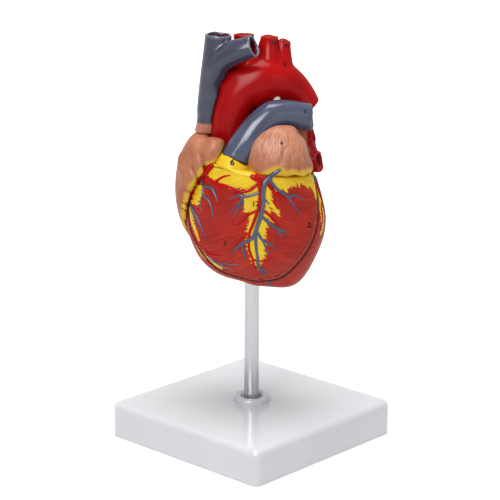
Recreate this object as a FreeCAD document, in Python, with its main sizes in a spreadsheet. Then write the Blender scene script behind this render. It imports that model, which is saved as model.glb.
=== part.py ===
"""Human heart teaching model on a rod stand.

Life-size heart, cast in pieces and glued up, with a front wall that pulls off to show both
ventricles.  It stands on a steel rod in a square moulded base.

Frame: origin on the table under the rod's axis, +Z up the rod, -Y the way that the heart faces,
+X towards the heart's own left side.  Lengths are millimetres.
"""
import FreeCAD, Part
import math
import os
import re

import Sketcher
from FreeCAD import Placement, Rotation, Vector

PARTS = "parts"
UP = Vector(0, 0, 1)
TURN = 360.0
RIGHT_ANGLE = 90.0
CUTTER = 400.0          # side of the blocks that trim along a plane, well past the whole heart

# ------------------------------------------------------------------ driving dimensions
# Every height that ends in _h is measured up from the heart's lowest point.
STAND_SIZES = {
    "base_side": 133, "base_height": 24, "base_turn": 47, "base_corner": 4.5, "base_edge": 4,
    "base_wall": 2.6, "base_top": 3, "rib_thick": 2, "rib_drop": 8,
    "foot_width": 12, "foot_proud": 0.5,
    "boss_radius": 12, "boss_drop": 5.5, "rod_shelf": 4,
    "rod_radius": 5, "rod_reach": 82, "rod_grip": 37, "rod_play": 0.05,
    "collar_radius": 12.3, "collar_height": 4.4, "collar_rim": 5.4, "collar_bead": 2.1, "collar_floor": 1.6,
    "rod_bevel": 0.8,
    "screw_radius": 2, "screw_play": 0.3, "screw_head": 3.6, "screw_head_high": 2.6,
    "screw_bite": 12, "screw_spare": 1, "screw_socket": 1.5, "screw_socket_deep": 1.6,
    "washer_radius": 7, "washer_thick": 1.2,
    "socket_wall": 1.6, "socket_cap": 2, "socket_mouth_h": 3,
}
SEAM_SIZES = {
    "seam_depth": 17.5, "seam_h": 44, "seam_lean": 16.5, "seam_turn": 4.6, "seam_gap": 0.3, "path_gap": 0.5,
    "ledge_h": 83.5, "ledge_slope": 8, "ledge_gap": 0.3,
    "crown_h": 80, "crown_lean": 28, "crown_slope": 8,
    "magnet_radius": 3, "magnet_thick": 2.5, "magnet_play": 0.1,
}
# The ventricles' outer form: one oval a row, as height, right side, left side, front and back.
WALL_TIP = (14, -7)
WALL_OVALS = [
    (1, 3, 25, -15.5, 2.5),
    (5, -11, 32, -24.5, 12.5),
    (14, -29, 38.5, -31, 22),
    (28, -39, 45, -35.5, 29.5),
    (44, -43.5, 48.2, -37.5, 33.5),
    (58, -42, 46, -38.5, 33),
    (72, -36.5, 41.5, -38.5, 29.5),
    (92, -31, 34, -36.5, 22),
]
# Rounded forms: centre x, y, height, then radius across, deep and high, then lean in the front view.
FORMS = {
    "atrium_r": (-31, 7, 64, 20, 25, 39, 0),
    "atrium_r_room": (-31, 9, 66, 15, 19, 32, 0),
    "lobe_a": (-25, -17, 94, 8, 9, 13, -20),
    "lobe_b": (-32, -15, 86, 8, 9, 14, -20),
    "lobe_c": (-38.5, -11, 75, 8, 9, 14, -12),
    "lobe_d": (-42.5, -7, 62, 7, 9, 14, -6),
    "atrium_l": (9, 18, 88.5, 31, 18, 22.5, 0),
    "atrium_l_room": (9, 18, 88.5, 27, 14, 18.5, 0),
    "auricle_l": (18, -20, 88, 20.5, 18, 25, 0),
    "chamber_r": (-20.5, -9, 47, 12.5, 16, 27, 0),
    "chamber_l": (24, -4, 46, 14, 19, 28, 0),
}
# Tubes: x, y, height and outer radius along each route.
TUBES = {
    "aorta": [(-14, 5, 70, 13.2), (-14.5, 4.5, 88, 13.4), (-14, 3.5, 105, 13.2), (-10.5, 2.5, 122, 13),
              (-2.5, 3, 133.5, 13.8), (9.7, 6, 136.5, 15), (21.4, 10, 131.5, 13.4), (30, 13, 124, 10.9),
              (35.3, 15, 116.5, 9.4)],
    "head_artery": [(-5, 4, 130, 9), (-6, 6, 148, 7), (-6, 7.5, 157, 6.7), (-6, 8, 165.5, 6.8)],
    "carotid": [(9, 5, 134, 10), (10, 5.5, 148.5, 8.4), (10.6, 6.5, 156, 6), (10.7, 7, 163, 6)],
    "arm_artery": [(15.5, 8, 134, 10), (17.6, 9.5, 147, 8.4), (19.5, 11.5, 153.5, 5.4), (20, 12.2, 159, 4.9)],
    "cava": [(-29, 8, 105.5, 8.4), (-27.6, 7, 120, 8.6), (-25.5, 5, 136, 9), (-23.5, 3.5, 152, 9),
             (-22, 3, 165, 9)],
    "cava_branch": [(-25, 4, 136, 8), (-19.5, -3, 148.5, 8.2), (-10, -9.5, 157, 7.6), (0.5, -13.5, 160.8, 6.6)],
    "trunk": [(-12.6, -20.5, 84.3, 12.2), (-10.2, -21, 91.5, 9.9), (-4.8, -21, 100, 9.6),
              (2.9, -19, 110, 9.3), (13.2, -15, 116.8, 9.2), (24, -11, 117, 9.1), (36, -8, 114.8, 8.9)],
    "lung_artery_r": [(14, -10, 117, 8), (13, 5, 113, 8), (1, 19, 110.5, 7.8), (-16, 25.5, 108, 7.4),
                      (-34, 25, 106, 7)],
    "lung_vein_l_up": [(22, 12, 97, 6), (33, 12, 97.5, 6), (41, 12.5, 97, 6.2)],
    "lung_vein_l_low": [(27, 14, 80.5, 6.6), (34, 12.5, 80, 6.8), (43.6, 12, 80.5, 7.2)],
    "lung_vein_r_up": [(-2, 22, 97, 6), (-14, 29, 98.5, 6), (-24, 34, 99, 6.2)],
    "lung_vein_r_low": [(-2, 22, 82, 6), (-14, 30, 81, 6), (-23, 36, 80.5, 6.2)],
    "cava_low": [(-27, 22, 48, 9), (-27.5, 26, 36, 8.8), (-28, 28, 22, 8.8)],
}
# Valve openings: a point in the ventricle, then one in the atrium; the ring sits between them.
VALVES = {
    "mitral": (24, 1, 60, 17, 15, 84),
    "tricuspid": (-21, -3, 62, -33, 10, 82),
}
# Ways out of the ventricles: a point in the chamber, then one in the vessel's foot.
OUTFLOWS = {
    "outflow_l": (22, -1, 62, -11.5, 4.5, 84),
    "outflow_r": (-20.5, -11, 59, -12.6, -20.5, 92.3),
}
# The cord between the lung trunk and the aorta's arch: its two ends, as above.
LIGAMENT = (15.5, -13.5, 117, 15.5, 8, 134.5)
VALVE_SIZES = {
    "mitral_radius": 9.5, "tricuspid_radius": 9.5, "leaflet_thick": 1.2, "leaflet_length": 9,
    "leaflet_mouth": 5.4, "leaflet_split": 1.6, "ring_high": 3, "mitral_start": 6, "tricuspid_start": 5,
    "cusp_thick": 1.2, "cusp_split": 1, "cusp_rise": 4.5, "cusp_mouth": 1.6,
    "chorda_radius": 0.5, "chorda_seat": 0.4, "papilla_tip": 1.6, "ligament_radius": 2.2,
    "cord_apart": 0.6, "collar_flare": 1.5, "collar_rise": 3.8, "collar_lip": 0.5,
    "vessel_wall": 1.8, "outflow_l_radius": 8.4, "outflow_r_radius": 8.1,
}
# Papillary muscles: foot x, y, height, tip x, y, height, foot radius.
PAPILLAE = {
    "papilla_l1": (31, 9, 24, 28, 3, 42, 4.2),
    "papilla_l2": (16, 9, 26, 19.5, 3, 43, 4),
    "papilla_r1": (-30, 3, 27, -26, -3, 43, 3.6),
    "papilla_r2": (-17, 3, 26, -19, -4, 42, 3.4),
}
# Coronary vessels on the front wall: x, height and radius along each run.
FRONT_VESSELS = {
    "front_artery": [
        [(-1, 81.2, 1.8), (2.8, 76.5, 1.6), (3.6, 70, 1.3), (3.4, 58, 1.2), (0.6, 46, 1.2),
         (-2.6, 33, 1.1), (-2, 22, 1), (0.6, 12, 0.9)],
        [(2.8, 76, 1.4), (-3, 70.5, 1.2), (-7, 69.5, 1.1), (-11, 70.3, 0.9)],
        [(9.6, 71.5, 1.2), (12, 65, 1.2), (14, 59, 1.1), (16.5, 53, 0.9)],
        [(3, 55, 1.1), (-4, 50.5, 1), (-9.5, 44, 0.8)],
        [(9.2, 51, 1.1), (13, 47, 1), (17.5, 41, 0.8)],
    ],
    "front_vein": [
        [(13, 79.4, 1.7), (8.6, 76.5, 1.7), (6.9, 70, 1.6), (7, 56, 1.5), (4.8, 42, 1.4), (2.2, 33, 1.3),
         (3.4, 22, 1.2), (5.4, 12, 1.1), (9.4, 5.5, 1)],
        [(9, 76, 1.4), (15, 70.5, 1.3), (21.5, 65.5, 1.2), (26, 56, 0.9)],
        [(6.9, 68, 1.6), (0.5, 66, 1.5), (-8, 64, 1.1), (-16, 62, 0.8)],
        [(6, 47, 1.2), (12.5, 41.5, 1.1), (18.5, 37, 0.9)],
    ],
    "marginal_artery": [
        [(-30.5, 79, 1.8), (-34.5, 69, 1.6), (-38, 58, 1.4)],
        [(-31.6, 76, 1.4), (-25.5, 73, 1.2), (-19.5, 72, 0.9)],
    ],
    "marginal_vein": [
        [(-30, 69.5, 1.2), (-27.5, 65, 1.1), (-25, 56, 0.9)],
        [(-36, 55, 1.3), (-33, 46, 1.2), (-28.5, 36, 0.9)],
    ],
}
# Coronary vessels round the back wall: x, height and radius along each run.
BACK_VESSELS = {
    "back_artery": [
        [(-14, 57, 1.7), (-6, 52, 1.5), (-2, 38, 1.3), (2, 24, 1.1)],
        [(-3, 44, 1.2), (6, 36, 1), (12, 28, 0.8)],
    ],
    "back_vein": [
        [(16, 59, 3), (4, 55, 2.6), (0.5, 42, 1.6), (4.5, 28, 1.3), (8, 16, 1)],
        [(14, 57, 1.8), (22, 44, 1.4), (24, 30, 1)],
    ],
}
VESSEL_SIZES = {"vessel_sink": 0.5, "vessel_dive": 3, "vessel_taper": 0.8}
# Magnet places on the seam: x and height.
MAGNETS = {"magnet_tip": (10, 20), "magnet_middle": (1.5, 44), "magnet_top": (3, 73)}

LEAVES = 3                                       # of the valve in a vessel's root
CORD_SPREAD = 30.0                               # degrees between a cord and its muscle's side
OVERRUN = 20.0                                   # how far a drill passes the face that it opens
CORNERS = ((-1, -1), (1, -1), (1, 1), (-1, 1))   # of the base, as the signs of x and y
POST_REACH = "(base_side / 2 - base_wall - foot_width / 2 - base_corner / 4)"

COLUMNS = {
    "oval": ("h", "right", "left", "front", "back"),
    "form": ("x", "y", "h", "rx", "ry", "rz", "lean"),
    "tube": ("x", "y", "h", "r"),
    "valve": ("x", "y", "h", "to_x", "to_y", "to_h"),
    "papilla": ("x", "y", "h", "to_x", "to_y", "to_h", "r"),
    "run": ("x", "h", "r"),
    "spot": ("x", "h"),
}


def cells():
    """Every driving dimension as (alias, value)."""
    plain = {**STAND_SIZES, **SEAM_SIZES, **VALVE_SIZES, **VESSEL_SIZES}
    for alias, value in plain.items():
        yield alias, value
    yield "tip_x", WALL_TIP[0]
    yield "tip_y", WALL_TIP[1]
    rows = [(f"oval_{i}", row, "oval") for i, row in enumerate(WALL_OVALS, 1)]
    rows += [(name, row, "form") for name, row in FORMS.items()]
    rows += [(f"{name}_{i}", row, "tube") for name, tube in TUBES.items() for i, row in enumerate(tube, 1)]
    rows += [(name, row, "valve") for name, row in (VALVES | OUTFLOWS).items()]
    rows += [(name, row, "papilla") for name, row in PAPILLAE.items()]
    rows += [(name, row, "spot") for name, row in MAGNETS.items()]
    rows.append(("ligament", LIGAMENT, "valve"))
    for trees in (FRONT_VESSELS, BACK_VESSELS):
        for name, runs in trees.items():
            for k, run in enumerate(runs, 1):
                rows += [(f"{name}_{k}_{i}", row, "run") for i, row in enumerate(run, 1)]
    for name, row, kind in rows:
        for column, value in zip(COLUMNS[kind], row):
            yield f"{name}_{column}", value


doc = FreeCAD.newDocument("heart_model")
sheet = doc.addObject("Spreadsheet::Sheet", "Sizes")
ALIASES = []
for number, (alias, value) in enumerate(cells(), 1):
    sheet.set(f"A{number}", str(value))
    sheet.setAlias(f"A{number}", alias)
    ALIASES.append(alias)
doc.recompute()
WORD = re.compile(r"[A-Za-z_][A-Za-z_0-9]*")
FLOOR = "base_height + rod_reach"       # the heart's lowest point above the table
NODES = {}


def size(alias):
    return float(sheet.get(alias))


def floor_z():
    return size("base_height") + size("rod_reach")


def bind(thing, prop, formula):
    """Binds a property to a formula of the sheet's aliases."""
    named = WORD.sub(lambda m: f"Sizes.{m[0]}" if m[0] in ALIASES else m[0], formula)
    thing.setExpression(prop, named)


def put(thing, x="0", y="0", z="0"):
    for axis, formula in zip("xyz", (x, y, z)):
        bind(thing, f"Placement.Base.{axis}", formula)
    return thing


def part(kind, name, **formulas):
    thing = doc.addObject(f"Part::{kind}", name)
    for prop, formula in formulas.items():
        bind(thing, prop, formula)
    return thing


def solid(name, shape):
    """A worked-out shape as an object of the document."""
    thing = doc.addObject("Part::Feature", name)
    thing.Shape = shape
    thing.Placement = Placement()
    return thing


def fuse(name, *things):
    thing = doc.addObject("Part::MultiFuse", name)
    thing.Shapes = list(things)
    return thing


def common(name, base, tool):
    thing = doc.addObject("Part::Common", name)
    thing.Base, thing.Tool = base, tool
    return thing


def compound(name, *things):
    thing = doc.addObject("Part::Compound", name)
    thing.Links = list(things)
    return thing


def cut(name, base, *tools):
    """base less each tool in turn."""
    for number, tool in enumerate(tools, 1):
        thing = doc.addObject("Part::Cut", name if number == len(tools) else f"{name}_less_{number}")
        thing.Base, thing.Tool = base, tool
        base = thing
    return base


def node(name, thing):
    thing.Label = name
    NODES[name] = thing
    return thing


# ------------------------------------------------------------------ sketching
def body(name):
    return doc.addObject("PartDesign::Body", name)


def sketch(owner, name, plane="XY_Plane", height=None):
    drawing = owner.newObject("Sketcher::SketchObject", name)
    origin = [f for f in owner.Origin.OriginFeatures if f.Role == plane][0]
    drawing.AttachmentSupport = [(origin, "")]
    drawing.MapMode = "FlatFace"
    if height:
        bind(drawing, "AttachmentOffset.Base.z", height)
    return drawing


def circle(drawing, radius, x="0", y="0"):
    i = drawing.addGeometry(Part.Circle(Vector(0, 0, 0), UP, 1), False)
    for kind, formula in (("Radius", radius), ("DistanceX", x), ("DistanceY", y)):
        where = (i,) if kind == "Radius" else (-1, 1, i, 3)
        c = drawing.addConstraint(Sketcher.Constraint(kind, *where, 1.0 if kind == "Radius" else 0.0))
        bind(drawing, f"Constraints[{c}]", formula)


def rectangle(drawing, half_x, half_y):
    """A rectangle centred on the origin, of the given half sizes."""
    corners = [Vector(-1, -1, 0), Vector(1, -1, 0), Vector(1, 1, 0), Vector(-1, 1, 0)]
    sides = [drawing.addGeometry(Part.LineSegment(corners[i], corners[(i + 1) % 4]), False) for i in range(4)]
    for i, side in enumerate(sides):
        drawing.addConstraint(Sketcher.Constraint("Coincident", side, 2, sides[(i + 1) % 4], 1))
        drawing.addConstraint(Sketcher.Constraint("Vertical" if i % 2 else "Horizontal", side))
    for point, sign in ((1, "-"), (2, "")):
        for kind, half in (("DistanceX", half_x), ("DistanceY", half_y)):
            end = (sides[0], 1) if point == 1 else (sides[1], 2)
            c = drawing.addConstraint(Sketcher.Constraint(kind, -1, 1, *end, -1.0 if sign else 1.0))
            bind(drawing, f"Constraints[{c}]", f"{sign}({half})")


def profile(drawing, points):
    """A closed outline of straight sides through points, each an (x, y) pair of formulas."""
    doc.recompute()
    at = [Vector(worth(x), worth(y), 0) for x, y in points]
    count = len(points)
    sides = [drawing.addGeometry(Part.LineSegment(at[i], at[(i + 1) % count]), False) for i in range(count)]
    for i, side in enumerate(sides):
        drawing.addConstraint(Sketcher.Constraint("Coincident", side, 2, sides[(i + 1) % count], 1))
    for side, spot, (x, y) in zip(sides, at, points):
        for kind, value, formula in (("DistanceX", spot.x, x), ("DistanceY", spot.y, y)):
            c = drawing.addConstraint(Sketcher.Constraint(kind, -1, 1, side, 1, value))
            bind(drawing, f"Constraints[{c}]", formula)


def worth(formula):
    """The value of a formula of the sheet's aliases."""
    number = WORD.sub(lambda m: repr(size(m[0])), formula)
    return float(FreeCAD.Units.Quantity(number).Value)


def pad(owner, drawing, length, name="Pad"):
    feature = owner.newObject("PartDesign::Pad", name)
    feature.Profile = drawing
    bind(feature, "Length", length)
    drawing.Visibility = False
    return feature


def pocket(owner, drawing, length, up=True, name="Pocket"):
    """A pocket from the drawing's plane, upwards unless up is False."""
    feature = owner.newObject("PartDesign::Pocket", name)
    feature.Profile = drawing
    feature.Reversed = up
    bind(feature, "Length", length)
    return feature


def revolve(owner, drawing, name="Revolution"):
    feature = owner.newObject("PartDesign::Revolution", name)
    feature.Profile = drawing
    feature.ReferenceAxis = (drawing, ["V_Axis"])
    feature.Angle = TURN
    return feature


def fillet(owner, base, pick, radius, name="Fillet"):
    """Rounds the edges of base that pick chooses."""
    doc.recompute()
    edges = [f"Edge{i}" for i, e in enumerate(base.Shape.Edges, 1) if pick(e)]
    feature = owner.newObject("PartDesign::Fillet", name)
    feature.Base = (base, edges)
    bind(feature, "Radius", radius)
    return feature


# ------------------------------------------------------------------ the stand
def upright(edge):
    box = edge.BoundBox
    return box.ZLength > 1 and box.XLength < 1e-6 and box.YLength < 1e-6


def make_base_plate():
    """Hollow moulded plate, open below, with a cross of ribs and the rod's boss."""
    plate = body("base_plate")
    outline = sketch(plate, "outline", height="foot_proud")
    rectangle(outline, "base_side / 2", "base_side / 2")
    block = pad(plate, outline, "base_height - foot_proud", "block")
    rounded = fillet(plate, block, upright, "base_corner", "corners")
    doc.recompute()
    top = size("base_height")
    soft = fillet(plate, rounded, lambda e: abs(e.BoundBox.ZMin - top) < 1e-6 and e.BoundBox.ZLength < 1e-6,
                  "base_edge", "top_edge")
    hollow = sketch(plate, "hollow_outline", height="foot_proud")
    rectangle(hollow, "base_side / 2 - base_wall", "base_side / 2 - base_wall")
    doc.recompute()
    pocket(plate, hollow, "base_height - foot_proud - base_top", name="hollow")
    for number, (half_x, half_y) in enumerate((("base_side / 2 - base_wall", "rib_thick / 2"),
                                               ("rib_thick / 2", "base_side / 2 - base_wall")), 1):
        rib = sketch(plate, f"rib_outline_{number}", height="rib_drop")
        rectangle(rib, half_x, half_y)
        pad(plate, rib, "base_height - base_top - rib_drop", f"rib_{number}")
    boss = sketch(plate, "boss_outline", height="boss_drop")
    circle(boss, "boss_radius")
    pad(plate, boss, "base_height - base_top - boss_drop", "boss")
    bore = sketch(plate, "bore_outline", height="boss_drop + rod_shelf")
    circle(bore, "rod_radius + rod_play")
    pocket(plate, bore, "base_height", name="bore")
    hole = sketch(plate, "screw_outline", height="boss_drop")
    circle(hole, "screw_radius + screw_play")
    pocket(plate, hole, "base_height", name="screw_hole")
    for number, (x, y) in enumerate(CORNERS, 1):
        post = sketch(plate, f"post_outline_{number}", height="foot_proud * 2")
        circle(post, "foot_width / 2", f"{x} * {POST_REACH}", f"{y} * {POST_REACH}")
        pad(plate, post, "base_height - base_top - foot_proud * 2", f"post_{number}")
    bind(plate, "Placement.Rotation.Angle", "base_turn")
    return node("base_plate", plate)


def make_base_feet():
    """Four round rubber pads under the corner posts."""
    feet = []
    for number, (x, y) in enumerate(CORNERS, 1):
        foot = part("Cylinder", f"foot_{number}", Radius="foot_width / 2", Height="foot_proud * 2")
        feet.append(put(foot, f"{x} * {POST_REACH}", f"{y} * {POST_REACH}"))
    group = compound("feet", *feet)
    bind(group, "Placement.Rotation.Angle", "base_turn")
    return node("base_feet", group)


def make_rod_collar():
    """Round collar on the plate: a dished disc with a rounded rim."""
    collar = body("rod_collar")
    drawing = sketch(collar, "collar_profile", "XZ_Plane")
    inner, rim, seat = "rod_radius + rod_play", "collar_radius - collar_rim", "base_height"
    profile(drawing, [(inner, seat), ("collar_radius", seat), ("collar_radius", f"{seat} + collar_height"),
                      (rim, f"{seat} + collar_height"), (rim, f"{seat} + collar_floor"),
                      (inner, f"{seat} + collar_floor")])
    ring = revolve(collar, drawing)
    doc.recompute()
    top = size("base_height") + size("collar_height")
    fillet(collar, ring, lambda e: abs(e.BoundBox.ZMin - top) < 1e-6 and e.BoundBox.ZLength < 1e-6,
           "collar_bead", "bead")
    return node("rod_collar", collar)


def make_rod():
    """Steel rod with a chamfered top and a tapped hole in its foot."""
    foot, top = "boss_drop + rod_shelf", f"{FLOOR} + rod_grip"
    rod = body("support_rod")
    drawing = sketch(rod, "rod_outline", height=foot)
    circle(drawing, "rod_radius")
    bar = pad(rod, drawing, f"{top} - ({foot})", "bar")
    doc.recompute()
    crown = worth(top)
    edges = [f"Edge{i}" for i, e in enumerate(bar.Shape.Edges, 1)
             if abs(e.BoundBox.ZMin - crown) < 1e-6 and e.BoundBox.ZLength < 1e-6]
    bevel = rod.newObject("PartDesign::Chamfer", "bevel")
    bevel.Base = (bar, edges)
    bind(bevel, "Size", "rod_bevel")
    hole = sketch(rod, "tapped_outline", height=foot)
    circle(hole, "screw_radius")
    pocket(rod, hole, "screw_bite", name="tapped_hole")
    return node("support_rod", rod)


def make_rod_screw():
    """Cap screw up through the boss into the rod."""
    under = "boss_drop - washer_thick"
    reach = "rod_shelf + washer_thick + screw_bite - screw_spare"
    shank = put(part("Cylinder", "screw_shank", Radius="screw_radius", Height=reach), z=under)
    cap = put(part("Cylinder", "screw_cap", Radius="screw_head", Height="screw_head_high"),
              z=f"{under} - screw_head_high")
    socket = doc.addObject("Part::Prism", "screw_key")
    socket.Polygon = 6
    bind(socket, "Circumradius", "screw_socket")
    bind(socket, "Height", "screw_socket_deep")
    put(socket, z=f"{under} - screw_head_high")
    return node("rod_screw", cut("screw", fuse("screw_blank", shank, cap), socket))


def make_rod_washer():
    """Plain washer between the boss and the screw's head."""
    disc = part("Cylinder", "washer_disc", Radius="washer_radius", Height="washer_thick")
    hole = part("Cylinder", "washer_hole", Radius="screw_radius + screw_play", Height="washer_thick")
    for ring in (disc, hole):
        put(ring, z="boss_drop - washer_thick")
    return node("rod_washer", cut("washer", disc, hole))


# ------------------------------------------------------------------ forms
def half_space(name, at, turned, side, gap="0"):
    """A block that fills one side of a plane.

    The plane passes through at (x, y, height) and is set by a rotation of the plane whose normal is
    the block's own axis: side is that axis and its sign, such as "+y" for all that lies behind.
    """
    block = doc.addObject("Part::Box", name)
    block.Length = block.Width = block.Height = CUTTER
    low = [-CUTTER / 2] * 3
    axis = "xyz".index(side[1])
    low[axis] = worth(gap) if side[0] == "+" else -CUTTER - worth(gap)
    block.Placement = Placement(Vector(*at), turned) * Placement(Vector(*low), Rotation())
    return block


def seam_rotation():
    return Rotation(UP, -size("seam_turn")) * Rotation(Vector(1, 0, 0), -size("seam_lean"))


def beside_seam(name, side, gap):
    at = (0, -size("seam_depth"), floor_z() + size("seam_h"))
    return half_space(name, at, seam_rotation(), side, gap)


def above_ledge(name, gap="0"):
    """All above the sloping shelf on which nothing of the front wall stands."""
    turned = Rotation(Vector(0, 1, 0), size("ledge_slope"))
    return half_space(name, (0, 0, floor_z() + size("ledge_h")), turned, "+z", gap)


def above_crown(name):
    """All above the slanting plane between the ventricles and the atria."""
    turned = Rotation(Vector(0, 1, 0), size("crown_slope")) * Rotation(Vector(1, 0, 0), -size("crown_lean"))
    return half_space(name, (0, 0, floor_z() + size("crown_h")), turned, "+z")


def oval(name, row, grow):
    """One oval section of the ventricles.  An ellipse's longer half goes along its own X."""
    wide = f"({row}_left - {row}_right) / 2 + {grow}"
    deep = f"({row}_back - {row}_front) / 2 + {grow}"
    ring = doc.addObject("Part::Ellipse", name)
    long_half, short_half = wide, deep
    if worth(deep) > worth(wide):
        long_half, short_half = deep, wide
        ring.Placement = Placement(Vector(), Rotation(UP, RIGHT_ANGLE))
        ring.Angle1, ring.Angle2 = -RIGHT_ANGLE, TURN - RIGHT_ANGLE
    bind(ring, "MajorRadius", long_half)
    bind(ring, "MinorRadius", short_half)
    return put(ring, f"({row}_left + {row}_right) / 2", f"({row}_back + {row}_front) / 2",
               f"{FLOOR} + {row}_h")


def ventricle_form(name, grow="0"):
    """The ventricles' outer form: a skin through the ovals, closed at the tip."""
    tip = doc.addObject("Part::Vertex", f"{name}_tip")
    bind(tip, "X", "tip_x")
    bind(tip, "Y", "tip_y")
    bind(tip, "Z", f"{FLOOR} - {grow}")
    rings = [oval(f"{name}_oval_{i}", f"oval_{i}", grow) for i in range(1, len(WALL_OVALS) + 1)]
    skin = doc.addObject("Part::Loft", name)
    skin.Sections = [tip, *rings]
    skin.Solid = True
    return skin


def rounded(name):
    """An egg of the FORMS table."""
    egg = part("Ellipsoid", name, Radius1=f"{name}_rz", Radius2=f"{name}_rx", Radius3=f"{name}_ry")
    egg.Angle1, egg.Angle2, egg.Angle3 = -RIGHT_ANGLE, RIGHT_ANGLE, TURN
    egg.Placement = Placement(Vector(), Rotation(Vector(0, 1, 0), -size(f"{name}_lean")))
    return put(egg, f"{name}_x", f"{name}_y", f"{FLOOR} + {name}_h")


def route(name):
    """The points of a tube of the TUBES table, in world places."""
    return [Vector(size(f"{name}_{i}_x"), size(f"{name}_{i}_y"), floor_z() + size(f"{name}_{i}_h"))
            for i in range(1, len(TUBES[name]) + 1)]


def headings(points):
    """The direction at each point of a route."""
    before = points[:1] + points[:-1]
    after = points[1:] + points[-1:]
    return [(b - a).normalize() for a, b in zip(before, after)]


def turns(points):
    """The rotation of a ring at each point of a route, each turned on from the last without twist."""
    ways = headings(points)
    turned = [Rotation(UP, ways[0])]
    for last, following in zip(ways, ways[1:]):
        turned.append(Rotation(last, following) * turned[-1])
    return turned


def tube(name, inset="0", called=None, first=1, last=None):
    """A round bar along a route of the TUBES table, of its outer radii less inset."""
    called = called or name
    points = route(name)
    last = last or len(points)
    rings = []
    for i, (point, turned) in enumerate(zip(points, turns(points)), 1):
        if first <= i <= last:
            ring = part("Circle", f"{called}_ring_{i}", Radius=f"{name}_{i}_r - {inset}")
            ring.Placement = Placement(point, turned)
            rings.append(put(ring, f"{name}_{i}_x", f"{name}_{i}_y", f"{FLOOR} + {name}_{i}_h"))
    skin = doc.addObject("Part::Loft", f"{called}_skin")
    skin.Sections = rings
    skin.Solid = True
    return skin


def between(name, start, end, radius, end_radius=None):
    """A round bar or cone from one (x, y, height) to another, all formulas."""
    spots = [Vector(worth(x), worth(y), floor_z() + worth(h)) for x, y, h in (start, end)]
    way = spots[1] - spots[0]
    if end_radius is None:
        bar = part("Cylinder", name, Radius=radius)
    else:
        bar = part("Cone", name, Radius1=radius, Radius2=end_radius)
    bar.Height = way.Length
    bar.Placement = Placement(spots[0], Rotation(UP, way))
    return put(bar, start[0], start[1], f"{FLOOR} + {start[2]}")


# ------------------------------------------------------------------ the heart
def ends(name):
    """The two (x, y, height) ends of a row of VALVES, OUTFLOWS or PAPILLAE."""
    return ((f"{name}_x", f"{name}_y", f"{name}_h"), (f"{name}_to_x", f"{name}_to_y", f"{name}_to_h"))


def magnet_holes(name, side, grow="0"):
    """Round bars in one face of the seam, where the magnets lie."""
    bars = []
    for spot in MAGNETS:
        bar = part("Cylinder", f"{name}_{spot}", Radius=f"magnet_radius + {grow}",
                   Height=f"magnet_thick + {grow}")
        on_seam = seam_point(f"{spot}_x", f"{spot}_h")
        into = Rotation(Vector(1, 0, 0), -RIGHT_ANGLE if side == "+y" else RIGHT_ANGLE)
        bar.Placement = (Placement(on_seam, seam_rotation()) * Placement(Vector(), into)
                         * Placement(Vector(0, 0, size("seam_gap") / 2), Rotation()))
        bars.append(bar)
    return fuse(name, *bars)


def seam_point(x, height):
    """The point of the seam at this x and height."""
    normal = seam_rotation().multVec(Vector(0, 1, 0))
    start = Vector(0, -size("seam_depth"), floor_z() + size("seam_h"))
    spot = Vector(worth(x), 0, floor_z() + worth(height))
    away = (start - spot).dot(normal) / normal.y
    return Vector(spot.x, away, spot.z)


class Walls:
    """The forms that the heart's pieces share and are trimmed by."""

    def __init__(self):
        self.form = ventricle_form("ventricles")
        self.wide_form = ventricle_form("ventricles_wide", "path_gap")
        self.chambers = [rounded("chamber_r"), rounded("chamber_l")]
        behind = beside_seam("behind_seam", "+y", "seam_gap / 2")
        ahead = beside_seam("ahead_of_seam", "-y", "seam_gap / 2")
        self.back = cut("back_form", common("back_block", self.form, behind), above_crown("over_crown"))
        self.front = cut("front_form", common("front_block", self.form, ahead), above_ledge("over_ledge"))
        self.path = self.front_path()

    def front_path(self):
        """All that the front wall passes through as it comes away forwards, with its clearance.

        It starts a gap behind the seam, so that nothing that it trims leaves a film in the seam.
        """
        sheet_face = doc.addObject("Part::Plane", "seam_sheet")
        sheet_face.Length = sheet_face.Width = CUTTER
        middle = Placement(Vector(-CUTTER / 2, -CUTTER / 2, 0), Rotation())
        flat = Rotation(Vector(1, 0, 0), RIGHT_ANGLE)
        at = Vector(0, -size("seam_depth"), floor_z() + size("seam_h"))
        behind = Placement(Vector(0, size("seam_gap"), 0), flat)
        sheet_face.Placement = Placement(at, seam_rotation()) * behind * middle
        outline = common("seam_outline", sheet_face, self.wide_form)
        swept = doc.addObject("Part::Extrusion", "front_sweep")
        swept.Base = outline
        swept.DirMode = "Custom"
        swept.Dir = Vector(0, -1, 0)
        swept.LengthFwd = CUTTER / 2
        swept.Solid = True
        return cut("front_path", swept, above_ledge("over_path", "ledge_gap"))


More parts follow.
